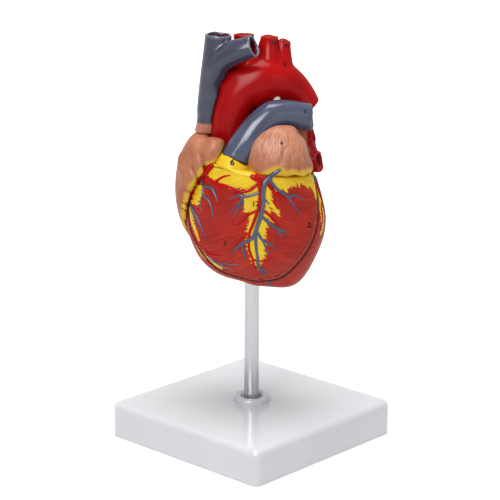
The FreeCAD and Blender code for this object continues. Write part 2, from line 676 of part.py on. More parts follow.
def make_heart():
    walls = Walls()
    bar = {name: tube(name) for name in TUBES}
    atrium_r, atrium_l = rounded("atrium_r"), rounded("atrium_l")
    solid_walls = [walls.back, walls.path]

    # ventricles
    outflow_l, outflow_r = (between(name, *ends(name), f"{name}_radius") for name in OUTFLOWS)
    ways = [between(f"{name}_way", *ends(name), f"{name}_radius") for name in VALVES]
    well = put(part("Cylinder", "socket_well", Radius="rod_radius + rod_play + socket_wall",
                    Height=f"rod_grip + socket_cap + {OVERRUN}"), z=f"{FLOOR} - {OVERRUN}")
    pits_back = magnet_holes("magnet_pits_back", "+y", "magnet_play")
    pits_front = magnet_holes("magnet_pits_front", "-y", "magnet_play")
    node("heart_back", cut("heart_back", walls.back, *walls.chambers, outflow_l, outflow_r, *ways, well,
                           pits_back))
    node("heart_front", cut("heart_front", walls.front, *walls.chambers, outflow_r, pits_front))
    node("back_magnets", magnet_holes("magnets_back", "+y"))
    node("front_magnets", magnet_holes("magnets_front", "-y"))

    # socket for the rod
    sleeve = put(part("Cylinder", "socket_sleeve", Radius="rod_radius + rod_play + socket_wall",
                      Height="rod_grip + socket_cap - socket_mouth_h"), z=f"{FLOOR} + socket_mouth_h")
    bore = put(part("Cylinder", "socket_bore", Radius="rod_radius + rod_play", Height=f"rod_grip + {OVERRUN}"),
               z=f"{FLOOR} - {OVERRUN}")
    node("rod_socket", common("rod_socket", cut("sleeve", sleeve, bore), walls.form))

    # great vessels
    lumen = {name: tube(name, "vessel_wall", f"{name}_lumen") for name in TUBES}
    crown = above_crown("aorta_foot_plane")
    root = tube("trunk", called="root_band", last=2)
    node("aorta", cut("aorta", common("aorta_bar", bar["aorta"], crown), walls.path, root, bar["trunk"],
                      lumen["aorta"]))
    branches = {"head_artery": "brachiocephalic_artery", "carotid": "left_carotid_artery",
                "arm_artery": "left_subclavian_artery"}
    for name, label in branches.items():
        beside = [bar["carotid"]] if name == "arm_artery" else []
        node(label, cut(label, bar[name], lumen[name], bar["aorta"], *beside))
    over = above_ledge("band_foot_plane", "ledge_gap")
    node("pulmonary_root_band", cut("pulmonary_root_band", common("band_bar", root, over), lumen["trunk"]))
    node("pulmonary_trunk", cut("pulmonary_trunk", bar["trunk"], root, lumen["trunk"]))
    node("superior_vena_cava", cut("superior_vena_cava", bar["cava"], bar["aorta"], atrium_r, lumen["cava"]))
    foot = between("cava_collar_cone", ("cava_1_x", "cava_1_y", "cava_1_h - collar_rise"),
                   ("cava_1_x", "cava_1_y", "cava_1_h + collar_rise"), "cava_1_r + collar_flare",
                   "cava_1_r + collar_lip")
    node("vena_cava_collar", cut("vena_cava_collar", foot, bar["cava"], bar["aorta"], atrium_r))
    cord = between("ligament_cord", *ends("ligament"), "ligament_radius")
    node("ligamentum_arteriosum", cut("ligamentum_arteriosum", cord, bar["aorta"], bar["trunk"],
                                      bar["lung_artery_r"]))
    node("left_brachiocephalic_vein", cut("left_brachiocephalic_vein", bar["cava_branch"], bar["cava"],
                                          bar["aorta"], lumen["cava_branch"]))
    node("right_pulmonary_artery", cut("right_pulmonary_artery", bar["lung_artery_r"], lumen["lung_artery_r"],
                                       bar["trunk"], bar["aorta"]))

    # atria
    vessels = [bar[name] for name in ("aorta", "trunk", "cava", "lung_artery_r")]
    room_r, room_l = rounded("atrium_r_room"), rounded("atrium_l_room")
    node("right_atrium", cut("right_atrium", atrium_r, *solid_walls, bar["aorta"], bar["trunk"],
                             bar["lung_artery_r"], room_r, ways[1], lumen["cava"]))
    node("left_atrium", cut("left_atrium", atrium_l, *solid_walls, atrium_r, *vessels, room_l, ways[0]))
    lobes = fuse("lobes", *(rounded(f"lobe_{letter}") for letter in "abcd"))
    node("right_auricle", cut("right_auricle", lobes, *solid_walls, atrium_r, *vessels, root))
    node("left_auricle", cut("left_auricle", rounded("auricle_l"), walls.path, walls.back, root, bar["trunk"],
                             atrium_l, bar["aorta"]))
    node("left_pulmonary_veins", lung_veins("left_pulmonary_veins", "l", bar, lumen, [atrium_l, *vessels]))
    node("right_pulmonary_veins", lung_veins("right_pulmonary_veins", "r", bar, lumen,
                                             [atrium_l, atrium_r, *vessels]))
    node("inferior_vena_cava", cut("inferior_vena_cava", bar["cava_low"], walls.back, atrium_r,
                                   lumen["cava_low"]))
    return walls, lumen


def lung_veins(name, side, bar, lumen, trims):
    both = ("up", "low")
    solid_bars = fuse(f"{name}_bars", *(bar[f"lung_vein_{side}_{which}"] for which in both))
    hollows = fuse(f"{name}_hollows", *(lumen[f"lung_vein_{side}_{which}"] for which in both))
    return cut(name, solid_bars, *trims, hollows)


# ------------------------------------------------------------------ valves
def make_valves(lumen):
    """Ring and skirt of each valve between atrium and ventricle, hung in its way."""
    for name in VALVES:
        valve = body(f"{name}_valve")
        drawing = sketch(valve, f"{name}_profile", "XZ_Plane")
        ring, mouth, thick = f"{name}_radius", "leaflet_mouth", "leaflet_thick"
        profile(drawing, [(f"{ring} - 2 * {thick}", "0"), (f"{mouth} - {thick}", "-leaflet_length"),
                          (mouth, "-leaflet_length"), (f"{ring} - {thick}", "-ring_high"), (ring, "-ring_high"),
                          (ring, "0")])
        revolve(valve, drawing)
        slot = sketch(valve, f"{name}_split", height="-ring_high - leaflet_length")
        rectangle(slot, f"{ring} * 2", "leaflet_split / 2")
        doc.recompute()
        pocket(valve, slot, "leaflet_length", name="split")
        valve.Placement = valve_place(name)
        node(f"{name}_valve", valve)
    make_vessel_valve("aortic_valve", "aorta", 2, lumen)
    make_vessel_valve("pulmonary_valve", "trunk", 2, lumen)


def valve_place(name):
    """Where a skirt's ring lies: on the way from ventricle to atrium, facing along it."""
    start, end = (Vector(size(f"{name}_{a}x"), size(f"{name}_{a}y"), floor_z() + size(f"{name}_{a}h"))
                  for a in ("", "to_"))
    way = (end - start).normalize()
    reach = size(f"{name}_start") + size("leaflet_length")
    return Placement(start + way * reach, Rotation(UP, way))


def make_vessel_valve(name, vessel, ring, lumen):
    """Three leaves that close upwards like a low cone, across a vessel's root."""
    at = f"{vessel}_{ring}"
    full = part("Cone", f"{name}_outside", Radius1=f"{at}_r", Radius2="cusp_mouth", Height="cusp_rise")
    hollow = part("Cone", f"{name}_inside", Radius1=f"{at}_r", Radius2="cusp_mouth", Height="cusp_rise")
    put(full, z="cusp_thick")
    mouth = part("Cylinder", f"{name}_mouth", Radius="cusp_mouth", Height="cusp_rise * 2")
    slits = []
    for k in range(LEAVES):
        slit = part("Box", f"{name}_slit_{k + 1}", Length=f"{at}_r", Width="cusp_split", Height="cusp_rise * 2")
        slit.Placement = (Placement(Vector(), Rotation(UP, TURN * k / LEAVES))
                          * Placement(Vector(0, -size("cusp_split") / 2, 0), Rotation()))
        slits.append(slit)
    leaves = cut(f"{name}_leaves", full, hollow, mouth, fuse(f"{name}_slits", *slits))
    points = route(vessel)
    leaves.Placement = Placement(points[ring - 1], turns(points)[ring - 1])
    return node(name, common(name, leaves, lumen[vessel]))


def make_papillae(walls):
    """Papillary muscles: cones that stand out of the chambers' back wall, and their cords."""
    groups = {"left_papillary_muscles": "l", "right_papillary_muscles": "r"}
    muscles = []
    for label, side in groups.items():
        cones = [between(name, *ends(name), f"{name}_r", "papilla_tip")
                 for name in PAPILLAE if name[8] == side]
        room = common(f"chamber_back_{side}", walls.back, walls.chambers["rl".index(side)])
        muscles.append(fuse(f"{label}_cones", *cones))
        node(label, common(label, muscles[-1], room))
    cords = []
    for valve, side in (("mitral", "l"), ("tricuspid", "r")):
        place = valve_place(valve)
        rim = size("leaflet_mouth") - size("leaflet_thick") / 2
        for muscle, turn in ((f"papilla_{side}1", 0), (f"papilla_{side}2", TURN / 2)):
            for spread in (-CORD_SPREAD, CORD_SPREAD):
                angle = math.radians(turn + spread)
                local = Vector(rim * math.cos(angle), rim * math.sin(angle), -size("leaflet_length"))
                top = place.multVec(local)
                apart = math.copysign(size("cord_apart"), math.sin(angle))
                low = Vector(size(f"{muscle}_to_x"), size(f"{muscle}_to_y") + apart,
                             floor_z() + size(f"{muscle}_to_h") - size("chorda_seat"))
                strand = part("Cylinder", f"chorda_{len(cords) + 1}", Radius="chorda_radius")
                strand.Height = (top - low).Length
                strand.Placement = Placement(low, Rotation(UP, top - low))
                cords.append(strand)
    node("chordae_tendineae", cut("chordae_tendineae", compound("cords", *cords), *muscles,
                                  NODES["mitral_valve"], NODES["tricuspid_valve"]))


# ------------------------------------------------------------------ coronary vessels
def wall_point(form, x, height, toward):
    """Where the wall's skin lies at this x and height, on its front (-1) or back (+1)."""
    ray = Part.makeLine(Vector(x, -CUTTER / 2, height), Vector(x, CUTTER / 2, height))
    hits = [v.Point for v in ray.common(form).Vertexes]
    if not hits:
        raise ValueError(f"no wall at x {x:.1f}, {height - floor_z():.1f} above the tip")
    return max(hits, key=lambda p: toward * p.y)


def vessel_tree(name, runs, form, toward):
    """Relief vessels on the wall: each run a bar half sunk in the skin, whose end dives into the wall."""
    bars = []
    for k, run in enumerate(runs, 1):
        rows = [f"{name}_{k}_{i}" for i in range(1, len(run) + 1)]
        spots = [wall_point(form, size(f"{row}_x"), floor_z() + size(f"{row}_h"), toward) for row in rows]
        radii = [size(f"{row}_r") for row in rows]
        way = (spots[-1] - spots[-2]).normalize()
        inward = Vector(-spots[-1].x, -spots[-1].y, 0).normalize()
        spots.append(spots[-1] + way * size("vessel_dive") + inward * (radii[-1] + size("vessel_sink")))
        radii.append(radii[-1] * size("vessel_taper"))
        rings = [Part.Wire(Part.Circle(spot, heading, radius).toShape())
                 for spot, heading, radius in zip(spots, headings(spots), radii)]
        bars.append(Part.makeLoft(rings, True))
    return solid(f"{name}_bars", bars[0].fuse(bars[1:]))


def make_coronary_vessels(walls):
    """Arteries and veins in relief.  Where they cross, the vein lies over the artery."""
    doc.recompute()
    form = walls.form.Shape
    trees = {name: vessel_tree(name, runs, form, -1) for name, runs in FRONT_VESSELS.items()}
    trees |= {name: vessel_tree(name, runs, form, 1) for name, runs in BACK_VESSELS.items()}
    for where in ("front", "marginal", "back"):
        vein, artery = trees[f"{where}_vein"], trees[f"{where}_artery"]
        node(f"{where}_coronary_veins", cut(f"{where}_coronary_veins", vein, walls.form))
        node(f"{where}_coronary_arteries", cut(f"{where}_coronary_arteries", artery, walls.form, vein))


make_base_plate()
make_base_feet()
make_rod_collar()
make_rod()
make_rod_screw()
make_rod_washer()
walls, lumen = make_heart()
make_valves(lumen)
make_papillae(walls)
make_coronary_vessels(walls)
doc.recompute()

failed = [thing.Label for thing in doc.Objects if "Invalid" in thing.State or "Error" in thing.State]
if failed:
    raise RuntimeError(f"did not build: {', '.join(failed)}")
for label, thing in NODES.items():
    if thing.Shape.isNull() or not thing.Shape.isValid():
        raise RuntimeError(f"{label} is not a sound solid")

os.makedirs(PARTS, exist_ok=True)
for label, thing in NODES.items():
    thing.Shape.exportStep(f"{PARTS}/{label}.step")
    print(f"{label}: {len(thing.Shape.Solids)} solid(s), {thing.Shape.Volume / 1000:.2f} cm3")
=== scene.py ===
"""Dressing of the heart teaching model: painted skins, coronary vessels, numbers, stage and lights.

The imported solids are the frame.  Each painted casting is a skin made over its solid: remeshed fine,
smoothed, modelled with folds, and given point attributes that its paint reads.  Lengths in the
tables are millimetres in the part's own frame, unless a name or comment says otherwise.
"""

import math

import bmesh
import bpy
import numpy as np
from mathutils import Matrix, Vector
from mathutils.bvhtree import BVHTree


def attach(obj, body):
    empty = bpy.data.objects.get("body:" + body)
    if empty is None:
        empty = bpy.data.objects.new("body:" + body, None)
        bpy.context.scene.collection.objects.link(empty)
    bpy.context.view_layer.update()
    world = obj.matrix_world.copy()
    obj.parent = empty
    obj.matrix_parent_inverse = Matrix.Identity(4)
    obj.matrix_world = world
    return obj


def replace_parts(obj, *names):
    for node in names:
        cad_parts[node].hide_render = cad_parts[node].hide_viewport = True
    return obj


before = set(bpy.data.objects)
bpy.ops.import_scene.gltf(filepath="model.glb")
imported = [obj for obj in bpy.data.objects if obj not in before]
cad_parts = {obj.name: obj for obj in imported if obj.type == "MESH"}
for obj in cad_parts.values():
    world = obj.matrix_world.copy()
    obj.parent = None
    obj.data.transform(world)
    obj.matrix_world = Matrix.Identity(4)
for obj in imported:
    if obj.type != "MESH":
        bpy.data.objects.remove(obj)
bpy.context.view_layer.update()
MM = 0.001  # in metres


def new_object(name, data):
    """A new object in the scene."""
    made = bpy.data.objects.new(name, data)
    bpy.context.scene.collection.objects.link(made)
    return made


# ------------------------------------------------------------------ camera
VIEW_SIZE = 500.0  # the view's side, in the units of every view spot below
FOCAL = 1975.8  # focal length in view units
SENSOR = 36.0
NEAR_CLIP, FAR_CLIP = 0.05, 20  # metres
AIM = Vector((-1.45, 0.0, 129.35))  # what the camera looks at
DISTANCE = 1300.5  # from the eye to there
LIFT = math.radians(15.93)  # how far down the camera looks
ROLL = math.radians(0.25)
FORWARD = Vector((0, math.cos(LIFT), -math.sin(LIFT)))
RIGHT = Vector((1, 0, 0))
ABOVE = Vector((0, math.sin(LIFT), math.cos(LIFT)))
EYE = AIM - DISTANCE * FORWARD


def make_camera():
    lens = bpy.data.cameras.new("camera")
    lens.sensor_width = SENSOR
    lens.lens = SENSOR * FOCAL / VIEW_SIZE
    lens.clip_start, lens.clip_end = NEAR_CLIP, FAR_CLIP
    camera = new_object("camera", lens)
    turned = Matrix.Rotation(math.pi / 2 - LIFT, 4, "X") @ Matrix.Rotation(ROLL, 4, "Z")
    camera.matrix_world = Matrix.Translation(EYE * MM) @ turned
    bpy.context.scene.camera = camera


def view_ray(across, down):
    """The direction from the eye through a spot of the view."""
    a, b = across - VIEW_SIZE / 2, down - VIEW_SIZE / 2
    u = a * math.cos(ROLL) + b * math.sin(ROLL)
    v = -a * math.sin(ROLL) + b * math.cos(ROLL)
    return (FORWARD * FOCAL + RIGHT * u - ABOVE * v).normalized()


def view_spots(points):
    """Where points, an array in millimetres, fall in the view."""
    away = points - np.array(EYE)
    depth = away @ np.array(FORWARD)
    u = FOCAL * (away @ np.array(RIGHT)) / depth
    v = -FOCAL * (away @ np.array(ABOVE)) / depth
    across = u * math.cos(ROLL) - v * math.sin(ROLL) + VIEW_SIZE / 2
    down = u * math.sin(ROLL) + v * math.cos(ROLL) + VIEW_SIZE / 2
    return np.stack([across, down], 1)


# ------------------------------------------------------------------ shading
def add(tree, kind, inputs=(), **settings):
    """A node of that kind with its inputs set: a value, or another node's output to link from."""
    node = tree.nodes.new(kind)
    for name, value in settings.items():
        setattr(node, name, value)
    for name, value in dict(inputs).items():
        if isinstance(value, bpy.types.NodeSocket):
            tree.links.new(value, node.inputs[name])
        else:
            node.inputs[name].default_value = value
    return node


def effect(name, inputs, outputs):
    """A shader node group with the named sockets and their kinds, its inputs and its outputs."""
    group = bpy.data.node_groups.new(name, "ShaderNodeTree")
    for way, sockets in (("INPUT", inputs), ("OUTPUT", outputs)):
        for label, kind in sockets.items():
            group.interface.new_socket(label, in_out=way, socket_type=f"NodeSocket{kind}")
    return group, group.nodes.new("NodeGroupInput").outputs, group.nodes.new("NodeGroupOutput").inputs


def blend_color(tree, factor, low, high):
    """The colour socket of a mix of two colours, whose own sockets are 6 and 7."""
    return add(tree, "ShaderNodeMix", {0: factor, 6: low, 7: high}, data_type="RGBA").outputs[2]


def sums(tree, kind, first, second=0.0, third=0.0):
    """One step of arithmetic on values or sockets."""
    return add(tree, "ShaderNodeMath", {0: first, 1: second, 2: third}, operation=kind).outputs[0]


def noise(tree, place, scale, detail, roughness=0.5, distortion=0.0):
    return add(tree, "ShaderNodeTexNoise", {"Vector": place, "Scale": scale, "Detail": detail,
                                            "Roughness": roughness, "Distortion": distortion}).outputs["Fac"]


def remap(tree, value, low, high, to_low=0.0, to_high=1.0, kind="LINEAR"):
    """A value from between low and high, spread between two other values."""
    return add(tree, "ShaderNodeMapRange", {0: value, 1: low, 2: high, 3: to_low, 4: to_high},
               interpolation_type=kind).outputs[0]


def joined(tree, x, y, z):
    return add(tree, "ShaderNodeCombineXYZ", {0: x, 1: y, 2: z}).outputs[0]


def parted(tree, vector):
    return add(tree, "ShaderNodeSeparateXYZ", {0: vector}).outputs


def own_place(tree):
    """Where a point lies on its own piece, in metres."""
    return add(tree, "ShaderNodeTexCoord").outputs["Object"]


LINE_CONTRAST, PATCH_CONTRAST = (0.36, 0.64), (0.33, 0.67)  # parts of a noise's range spread over 0 to 1
BROAD_STRETCH = 5.0  # how much the broad lines are stretched across the fibres
BROAD_SHARE, FINE_SHARE = 0.6, 0.4
STROKE_STRETCH = 0.16  # how slowly a stroke changes along its length
RIPPLES = 420.0  # ripples of the lacquer per metre


def make_fibre_lines():
    """Fine raised lines of muscle that run along the casting's stored fibre direction."""
    group, given, made = effect("fibre_lines", {"Fibre": "Vector", "Spacing": "Float",
                                                "Break Length": "Float"},
                                {"Height": "Float", "Tone": "Float"})
    apart = parted(group, given["Fibre"])
    across = sums(group, "DIVIDE", apart[1], given["Spacing"])
    along = sums(group, "DIVIDE", apart[0], given["Break Length"])
    deep = sums(group, "DIVIDE", apart[2], given["Break Length"])
    lines = noise(group, joined(group, along, across, deep), scale=1.0, detail=2.5, roughness=0.55,
                  distortion=0.3)
    broad_across = sums(group, "DIVIDE", across, BROAD_STRETCH)
    broad = noise(group, joined(group, along, broad_across, deep), scale=1.3, detail=2.0)
    crisp = remap(group, lines, *LINE_CONTRAST)
    mixed = sums(group, "MULTIPLY_ADD", broad, BROAD_SHARE, sums(group, "MULTIPLY", crisp, FINE_SHARE))
    group.links.new(crisp, made["Height"])
    group.links.new(mixed, made["Tone"])
    return group


def make_brushed_edge():
    """Where one paint meets another: a stored distance, frayed by strokes along the fibres."""
    group, given, made = effect("brushed_edge", {"Distance": "Float", "Fibre": "Vector", "Fray": "Float",
                                                 "Stroke Width": "Float", "Softness": "Float"},
                                {"Mask": "Float"})
    apart = parted(group, given["Fibre"])
    across = sums(group, "DIVIDE", apart[1], given["Stroke Width"])
    along = sums(group, "MULTIPLY", apart[0], STROKE_STRETCH)
    strokes = noise(group, joined(group, along, across, 0.0), scale=1.0, detail=2.0)
    centred = sums(group, "SUBTRACT", strokes, 0.5)
    frayed = sums(group, "MULTIPLY_ADD", centred, given["Fray"], given["Distance"])
    low = sums(group, "MULTIPLY", given["Softness"], -1.0)
    group.links.new(remap(group, frayed, low, given["Softness"], kind="SMOOTHSTEP"), made["Mask"])
    return group


def make_hand_paint():
    """Slow changes of tone in a hand-painted coat, and the faint ripple of the lacquer over it."""
    group, given, made = effect("hand_paint", {"Color": "Color", "Shade": "Color", "Patch Size": "Float",
                                               "Strength": "Float"}, {"Color": "Color", "Ripple": "Float"})
    place = own_place(group)
    scale = sums(group, "DIVIDE", 1000.0, given["Patch Size"])
    spread = remap(group, noise(group, place, scale, detail=3.0, roughness=0.55), *PATCH_CONTRAST)
    factor = sums(group, "MULTIPLY", spread, given["Strength"])
    group.links.new(blend_color(group, factor, given["Color"], given["Shade"]), made["Color"])
    group.links.new(noise(group, place, RIPPLES, detail=1.0), made["Ripple"])
    return group


def tone(red, green, blue):
    """An 8-bit display colour as the linear colour that shades to it."""
    def linear(value):
        part = value / 255
        return part / 12.92 if part <= 0.04045 else ((part + 0.055) / 1.055) ** 2.4
    return (linear(red), linear(green), linear(blue), 1.0)


# How a finish is set on the shader itself: label, value.
LACQUER = {"Roughness": 0.5, "Coat Weight": 0.2, "Coat Roughness": 0.24, "Specular IOR Level": 0.0}
DEEP_LACQUER = {**LACQUER, "Coat Weight": 0.8, "Coat Roughness": 0.2}
MUSCLE_LACQUER = {**LACQUER, "Coat Weight": 0.3}
SATIN_LACQUER = {**LACQUER, "Coat Weight": 0.3, "Coat Roughness": 0.34}
GLOSS_MOULDING = {"Roughness": 0.16, "Specular IOR Level": 0.4}
METAL = {"Metallic": 0.9, "Roughness": 0.24}


class Finish:
    """A material in the making: the tree, its shader and the shared effects placed in it."""

    def __init__(self, name):
        self.material = bpy.data.materials.new(name)
        self.material.use_nodes = True
        self.tree = self.material.node_tree
        self.shader = self.tree.nodes["Principled BSDF"]

    def set(self, values):
        for label, value in values.items():
            self.shader.inputs[label].default_value = value
        return self

    def effect(self, group, inputs):
        return add(self.tree, "ShaderNodeGroup", inputs, node_tree=group).outputs

    def hand_paint(self, color, shade, patch, strength):
        return self.effect(HAND_PAINT, {"Color": color, "Shade": shade, "Patch Size": patch,
                                        "Strength": strength})

    def stored(self, name, vector=False):
        """A point attribute of the casting."""
        attribute = add(self.tree, "ShaderNodeAttribute", attribute_name=name)
        return attribute.outputs["Vector" if vector else "Fac"]

    def paint(self, color, *coats):
        """Lays a colour, and over it each coat: a stored mask and its own colour."""
        for mask, over in coats:
            color = blend_color(self.tree, self.stored(mask), color, over)
        self.tree.links.new(color, self.shader.inputs["Base Color"])

    def relief(self, *layers):
        """Bumps one on another: each layer is (height socket, depth in millimetres)."""
        normal = None
        for height, depth in layers:
            under = {} if normal is None else {"Normal": normal}
            normal = add(self.tree, "ShaderNodeBump", {"Height": height, "Strength": 1.0,
                                                       "Distance": depth * MM, **under}).outputs[0]
        self.tree.links.new(normal, self.shader.inputs["Normal"])


FIBRE_LINES = make_fibre_lines()
BRUSHED_EDGE = make_brushed_edge()
HAND_PAINT = make_hand_paint()

RED_MUSCLE, DEEP_MUSCLE = tone(190, 40, 24), tone(154, 18, 14)
BRIGHT_MUSCLE, DARK_FIBRE = tone(210, 62, 30), tone(118, 10, 10)
PURE_RED, PALE_MUSCLE = tone(188, 10, 6), tone(190, 92, 76)
YELLOW_FAT, OCHRE_FAT = tone(244, 210, 46), tone(226, 172, 30)
FLESH, WARM_FLESH, PALE_FLESH = tone(190, 122, 90), tone(164, 94, 62), tone(214, 156, 128)
SLATE, DARK_SLATE = tone(58, 63, 82), tone(42, 46, 64)
BLUE_SLATE, DEEP_SLATE = tone(70, 79, 103), tone(50, 56, 78)
AORTA_RED, AORTA_SHADE = tone(178, 10, 12), tone(150, 4, 8)
# The bores' red is darkened as painted shade of the hollow.
BORE_RED_AND_SHADE, RIM_SLATE, RIM_RED = tone(112, 6, 10), tone(90, 96, 114), tone(176, 34, 30)
ARTERY_RED, ARTERY_SHADE = tone(194, 14, 10), tone(150, 8, 8)
CUT_MUSCLE, CHAMBER_PINK = tone(196, 96, 84), tone(206, 128, 104)
CREAM, CREAM_SHADE = tone(232, 220, 190), tone(208, 188, 150)
DARK_STEEL, BRIGHT_STEEL = tone(160, 162, 164), tone(184, 186, 188)
# Painted shade: dark red along the seam's groove and in the crease below the root band, brown in the atria's
# creases.
SEAM_SHADE, CREASE_SHADE = tone(84, 8, 8), tone(150, 92, 50)
FAT_LINE, RIM_FAT, RIM_OCHRE = tone(214, 140, 30), tone(226, 190, 52), tone(206, 150, 60)
PALER_FROM, PALER_TO = 0.150, 0.112  # heights in metres between which the red turns paler
DRAWN_LINES = (2600.0, 2600.0, 26.0)  # lines of the drawn bar per metre, across and along
DRAWN_ROUGHNESS, DRAWN_DEPTH = (0.18, 0.34), 0.01
# How strongly each thing shows in the muscle's red: the pure red and the bright streaks near the fat, the
# dark between the fibre lines, and the paler red low down; then the lines in the fat and the wrinkles.
PURE_SHOWS, STREAKS_SHOW, DARK_SHOWS, PALER_SHOWS = 0.7, 0.7, 0.36, 0.4
FAT_LINES_SHOW, WRINKLES_SHOW = 0.14, 0.85
NEAR_FAT, FAR_SHARE = (-9.0, 1.0), 0.3  # distances over which the fat's nearness tells, and its least share
LINE_DEPTH, RIPPLE_DEPTH, VESSEL_RIPPLE = 0.22, 0.03, 0.04  # depths of relief


def muscle_finish():
    """Brick-red muscle with raised fibre lines, yellow fat brushed over it, cut faces and chambers."""
    finish = Finish("muscle_paint").set(MUSCLE_LACQUER)
    tree = finish.tree
    fibre = finish.stored("fibre", vector=True)
    to_fat = finish.stored("fat")
    lines = finish.effect(FIBRE_LINES, {"Fibre": fibre, "Spacing": 1.0, "Break Length": 16.0})
    red = finish.hand_paint(RED_MUSCLE, DEEP_MUSCLE, patch=16.0, strength=0.85)
    near_fat = remap(tree, to_fat, *NEAR_FAT, FAR_SHARE, 1.0)
    height = parted(tree, own_place(tree))[2]
    paling = remap(tree, height, PALER_FROM, PALER_TO, 0.0, PALER_SHOWS, "SMOOTHSTEP")
    paler = blend_color(tree, paling, red["Color"], PALE_MUSCLE)
    pure = sums(tree, "MULTIPLY", sums(tree, "POWER", near_fat, 2.0), PURE_SHOWS)
    deeper = blend_color(tree, pure, paler, PURE_RED)
    warm = sums(tree, "MULTIPLY", sums(tree, "MULTIPLY", lines["Tone"], near_fat), STREAKS_SHOW)
    streaked = blend_color(tree, warm, deeper, BRIGHT_MUSCLE)
    low = sums(tree, "MULTIPLY", sums(tree, "SUBTRACT", 1.0, lines["Height"]), DARK_SHOWS)
    lined = blend_color(tree, low, streaked, DARK_FIBRE)
    fat_mask = finish.effect(BRUSHED_EDGE, {
        "Distance": to_fat, "Fibre": finish.stored("stroke", vector=True), "Fray": 13.0,
        "Stroke Width": 1.0, "Softness": 0.7})["Mask"]
    fat = finish.hand_paint(YELLOW_FAT, OCHRE_FAT, patch=7.0, strength=0.34)
    fat_lines = sums(tree, "MULTIPLY", lines["Height"], FAT_LINES_SHOW)
    outside = blend_color(tree, fat_mask, lined, blend_color(tree, fat_lines, fat["Color"], FAT_LINE))
    # The seam's groove and the crease below the root band get painted shade.
    finish.paint(outside, ("cut", CUT_MUSCLE), ("chamber", CHAMBER_PINK), ("seam", SEAM_SHADE))
    finish.relief((lines["Height"], LINE_DEPTH), (red["Ripple"], RIPPLE_DEPTH))
    return finish.material


def flesh_finish():
    """Flesh-coloured atrium with fine wrinkles and a yellow rim brushed along its edge."""
    finish = Finish("atrium_paint").set(SATIN_LACQUER)
    tree = finish.tree
    fibre = finish.stored("fibre", vector=True)
    lines = finish.effect(FIBRE_LINES, {"Fibre": fibre, "Spacing": 0.85, "Break Length": 5.0})
    skin = finish.hand_paint(FLESH, WARM_FLESH, patch=16.0, strength=0.8)
    wrinkle = sums(tree, "MULTIPLY", lines["Height"], finish.stored("wrinkle"))
    pale = blend_color(tree, sums(tree, "MULTIPLY", wrinkle, WRINKLES_SHOW), skin["Color"], PALE_FLESH)
    rim = finish.effect(BRUSHED_EDGE, {"Distance": finish.stored("fat"), "Fibre": fibre, "Fray": 3.0,
                                       "Stroke Width": 3.0, "Softness": 2.4})["Mask"]
    fat = finish.hand_paint(RIM_FAT, RIM_OCHRE, patch=8.0, strength=0.6)
    # The creases get painted shade.
    finish.paint(blend_color(tree, rim, pale, fat["Color"]), ("crease", CREASE_SHADE))
    finish.relief((wrinkle, LINE_DEPTH), (skin["Ripple"], RIPPLE_DEPTH))
    return finish.material


def vessel_finish(name, color, shade, rim, coating):
    """A great vessel: one lacquered colour, a red bore with painted shade, a pale cut rim and a
    flesh-coloured foot.
    """
    finish = Finish(name).set(coating)
    coat = finish.hand_paint(color, shade, patch=17.0, strength=0.55)
    # The bore gets its red darkened with painted shade.
    finish.paint(coat["Color"], ("foot", FLESH), ("lumen", BORE_RED_AND_SHADE), ("rim", rim))
    finish.relief((coat["Ripple"], VESSEL_RIPPLE))
    return finish.material


def plain_finish(name, color, shade, patch, settings, ripple=RIPPLE_DEPTH, strength=0.5):
    """A single hand-painted or moulded colour."""
    finish = Finish(name).set(settings)
    coat = finish.hand_paint(color, shade, patch, strength)
    finish.paint(coat["Color"])
    finish.relief((coat["Ripple"], ripple))
    return finish.material


def drawn_steel_finish():
    """Bright drawn bar: fine lines along its length in tone and roughness."""
    finish = Finish("drawn_steel").set({"Metallic": 0.9})
    tree = finish.tree
    stretched = add(tree, "ShaderNodeMapping", {"Vector": own_place(tree), "Scale": DRAWN_LINES}).outputs[0]
    lines = noise(tree, stretched, scale=1.0, detail=2.0)
    finish.paint(blend_color(tree, lines, DARK_STEEL, BRIGHT_STEEL))
    rough = remap(tree, lines, 0.0, 1.0, *DRAWN_ROUGHNESS)
    tree.links.new(rough, finish.shader.inputs["Roughness"])
    finish.relief((lines, DRAWN_DEPTH))
    return finish.material


MUSCLE = muscle_finish()
ATRIUM = flesh_finish()
SLATE_VESSEL = vessel_finish("slate_vessel", SLATE, DARK_SLATE, RIM_SLATE, DEEP_LACQUER)
BLUE_VESSEL = vessel_finish("blue_vessel", BLUE_SLATE, DEEP_SLATE, RIM_SLATE, DEEP_LACQUER)
RED_VESSEL = vessel_finish("red_vessel", AORTA_RED, AORTA_SHADE, RIM_RED, LACQUER)
VEIN = plain_finish("vein_relief", tone(74, 84, 112), DARK_SLATE, 5.0, DEEP_LACQUER)
ARTERY = plain_finish("artery_relief", ARTERY_RED, ARTERY_SHADE, 5.0, LACQUER)
BAND = plain_finish("root_band_paint", tone(236, 200, 44), OCHRE_FAT, 9.0, LACQUER, strength=0.3)
VALVE = plain_finish("valve_cream", CREAM, CREAM_SHADE, 4.0, LACQUER)
MOULDING = plain_finish("white_moulding", tone(223, 223, 226), tone(217, 217, 221), 40.0,
                        GLOSS_MOULDING, ripple=0.004)
COLLAR = plain_finish("collar_moulding", tone(204, 202, 210), tone(196, 194, 203), 20.0,
                      GLOSS_MOULDING, ripple=0.004)
RUBBER = plain_finish("foot_rubber", tone(46, 46, 48), tone(36, 36, 38), 3.0, {"Roughness": 0.7}, ripple=0.1)
SOCKET = plain_finish("socket_moulding", tone(222, 214, 196), tone(206, 196, 176), 8.0, {"Roughness": 0.45})
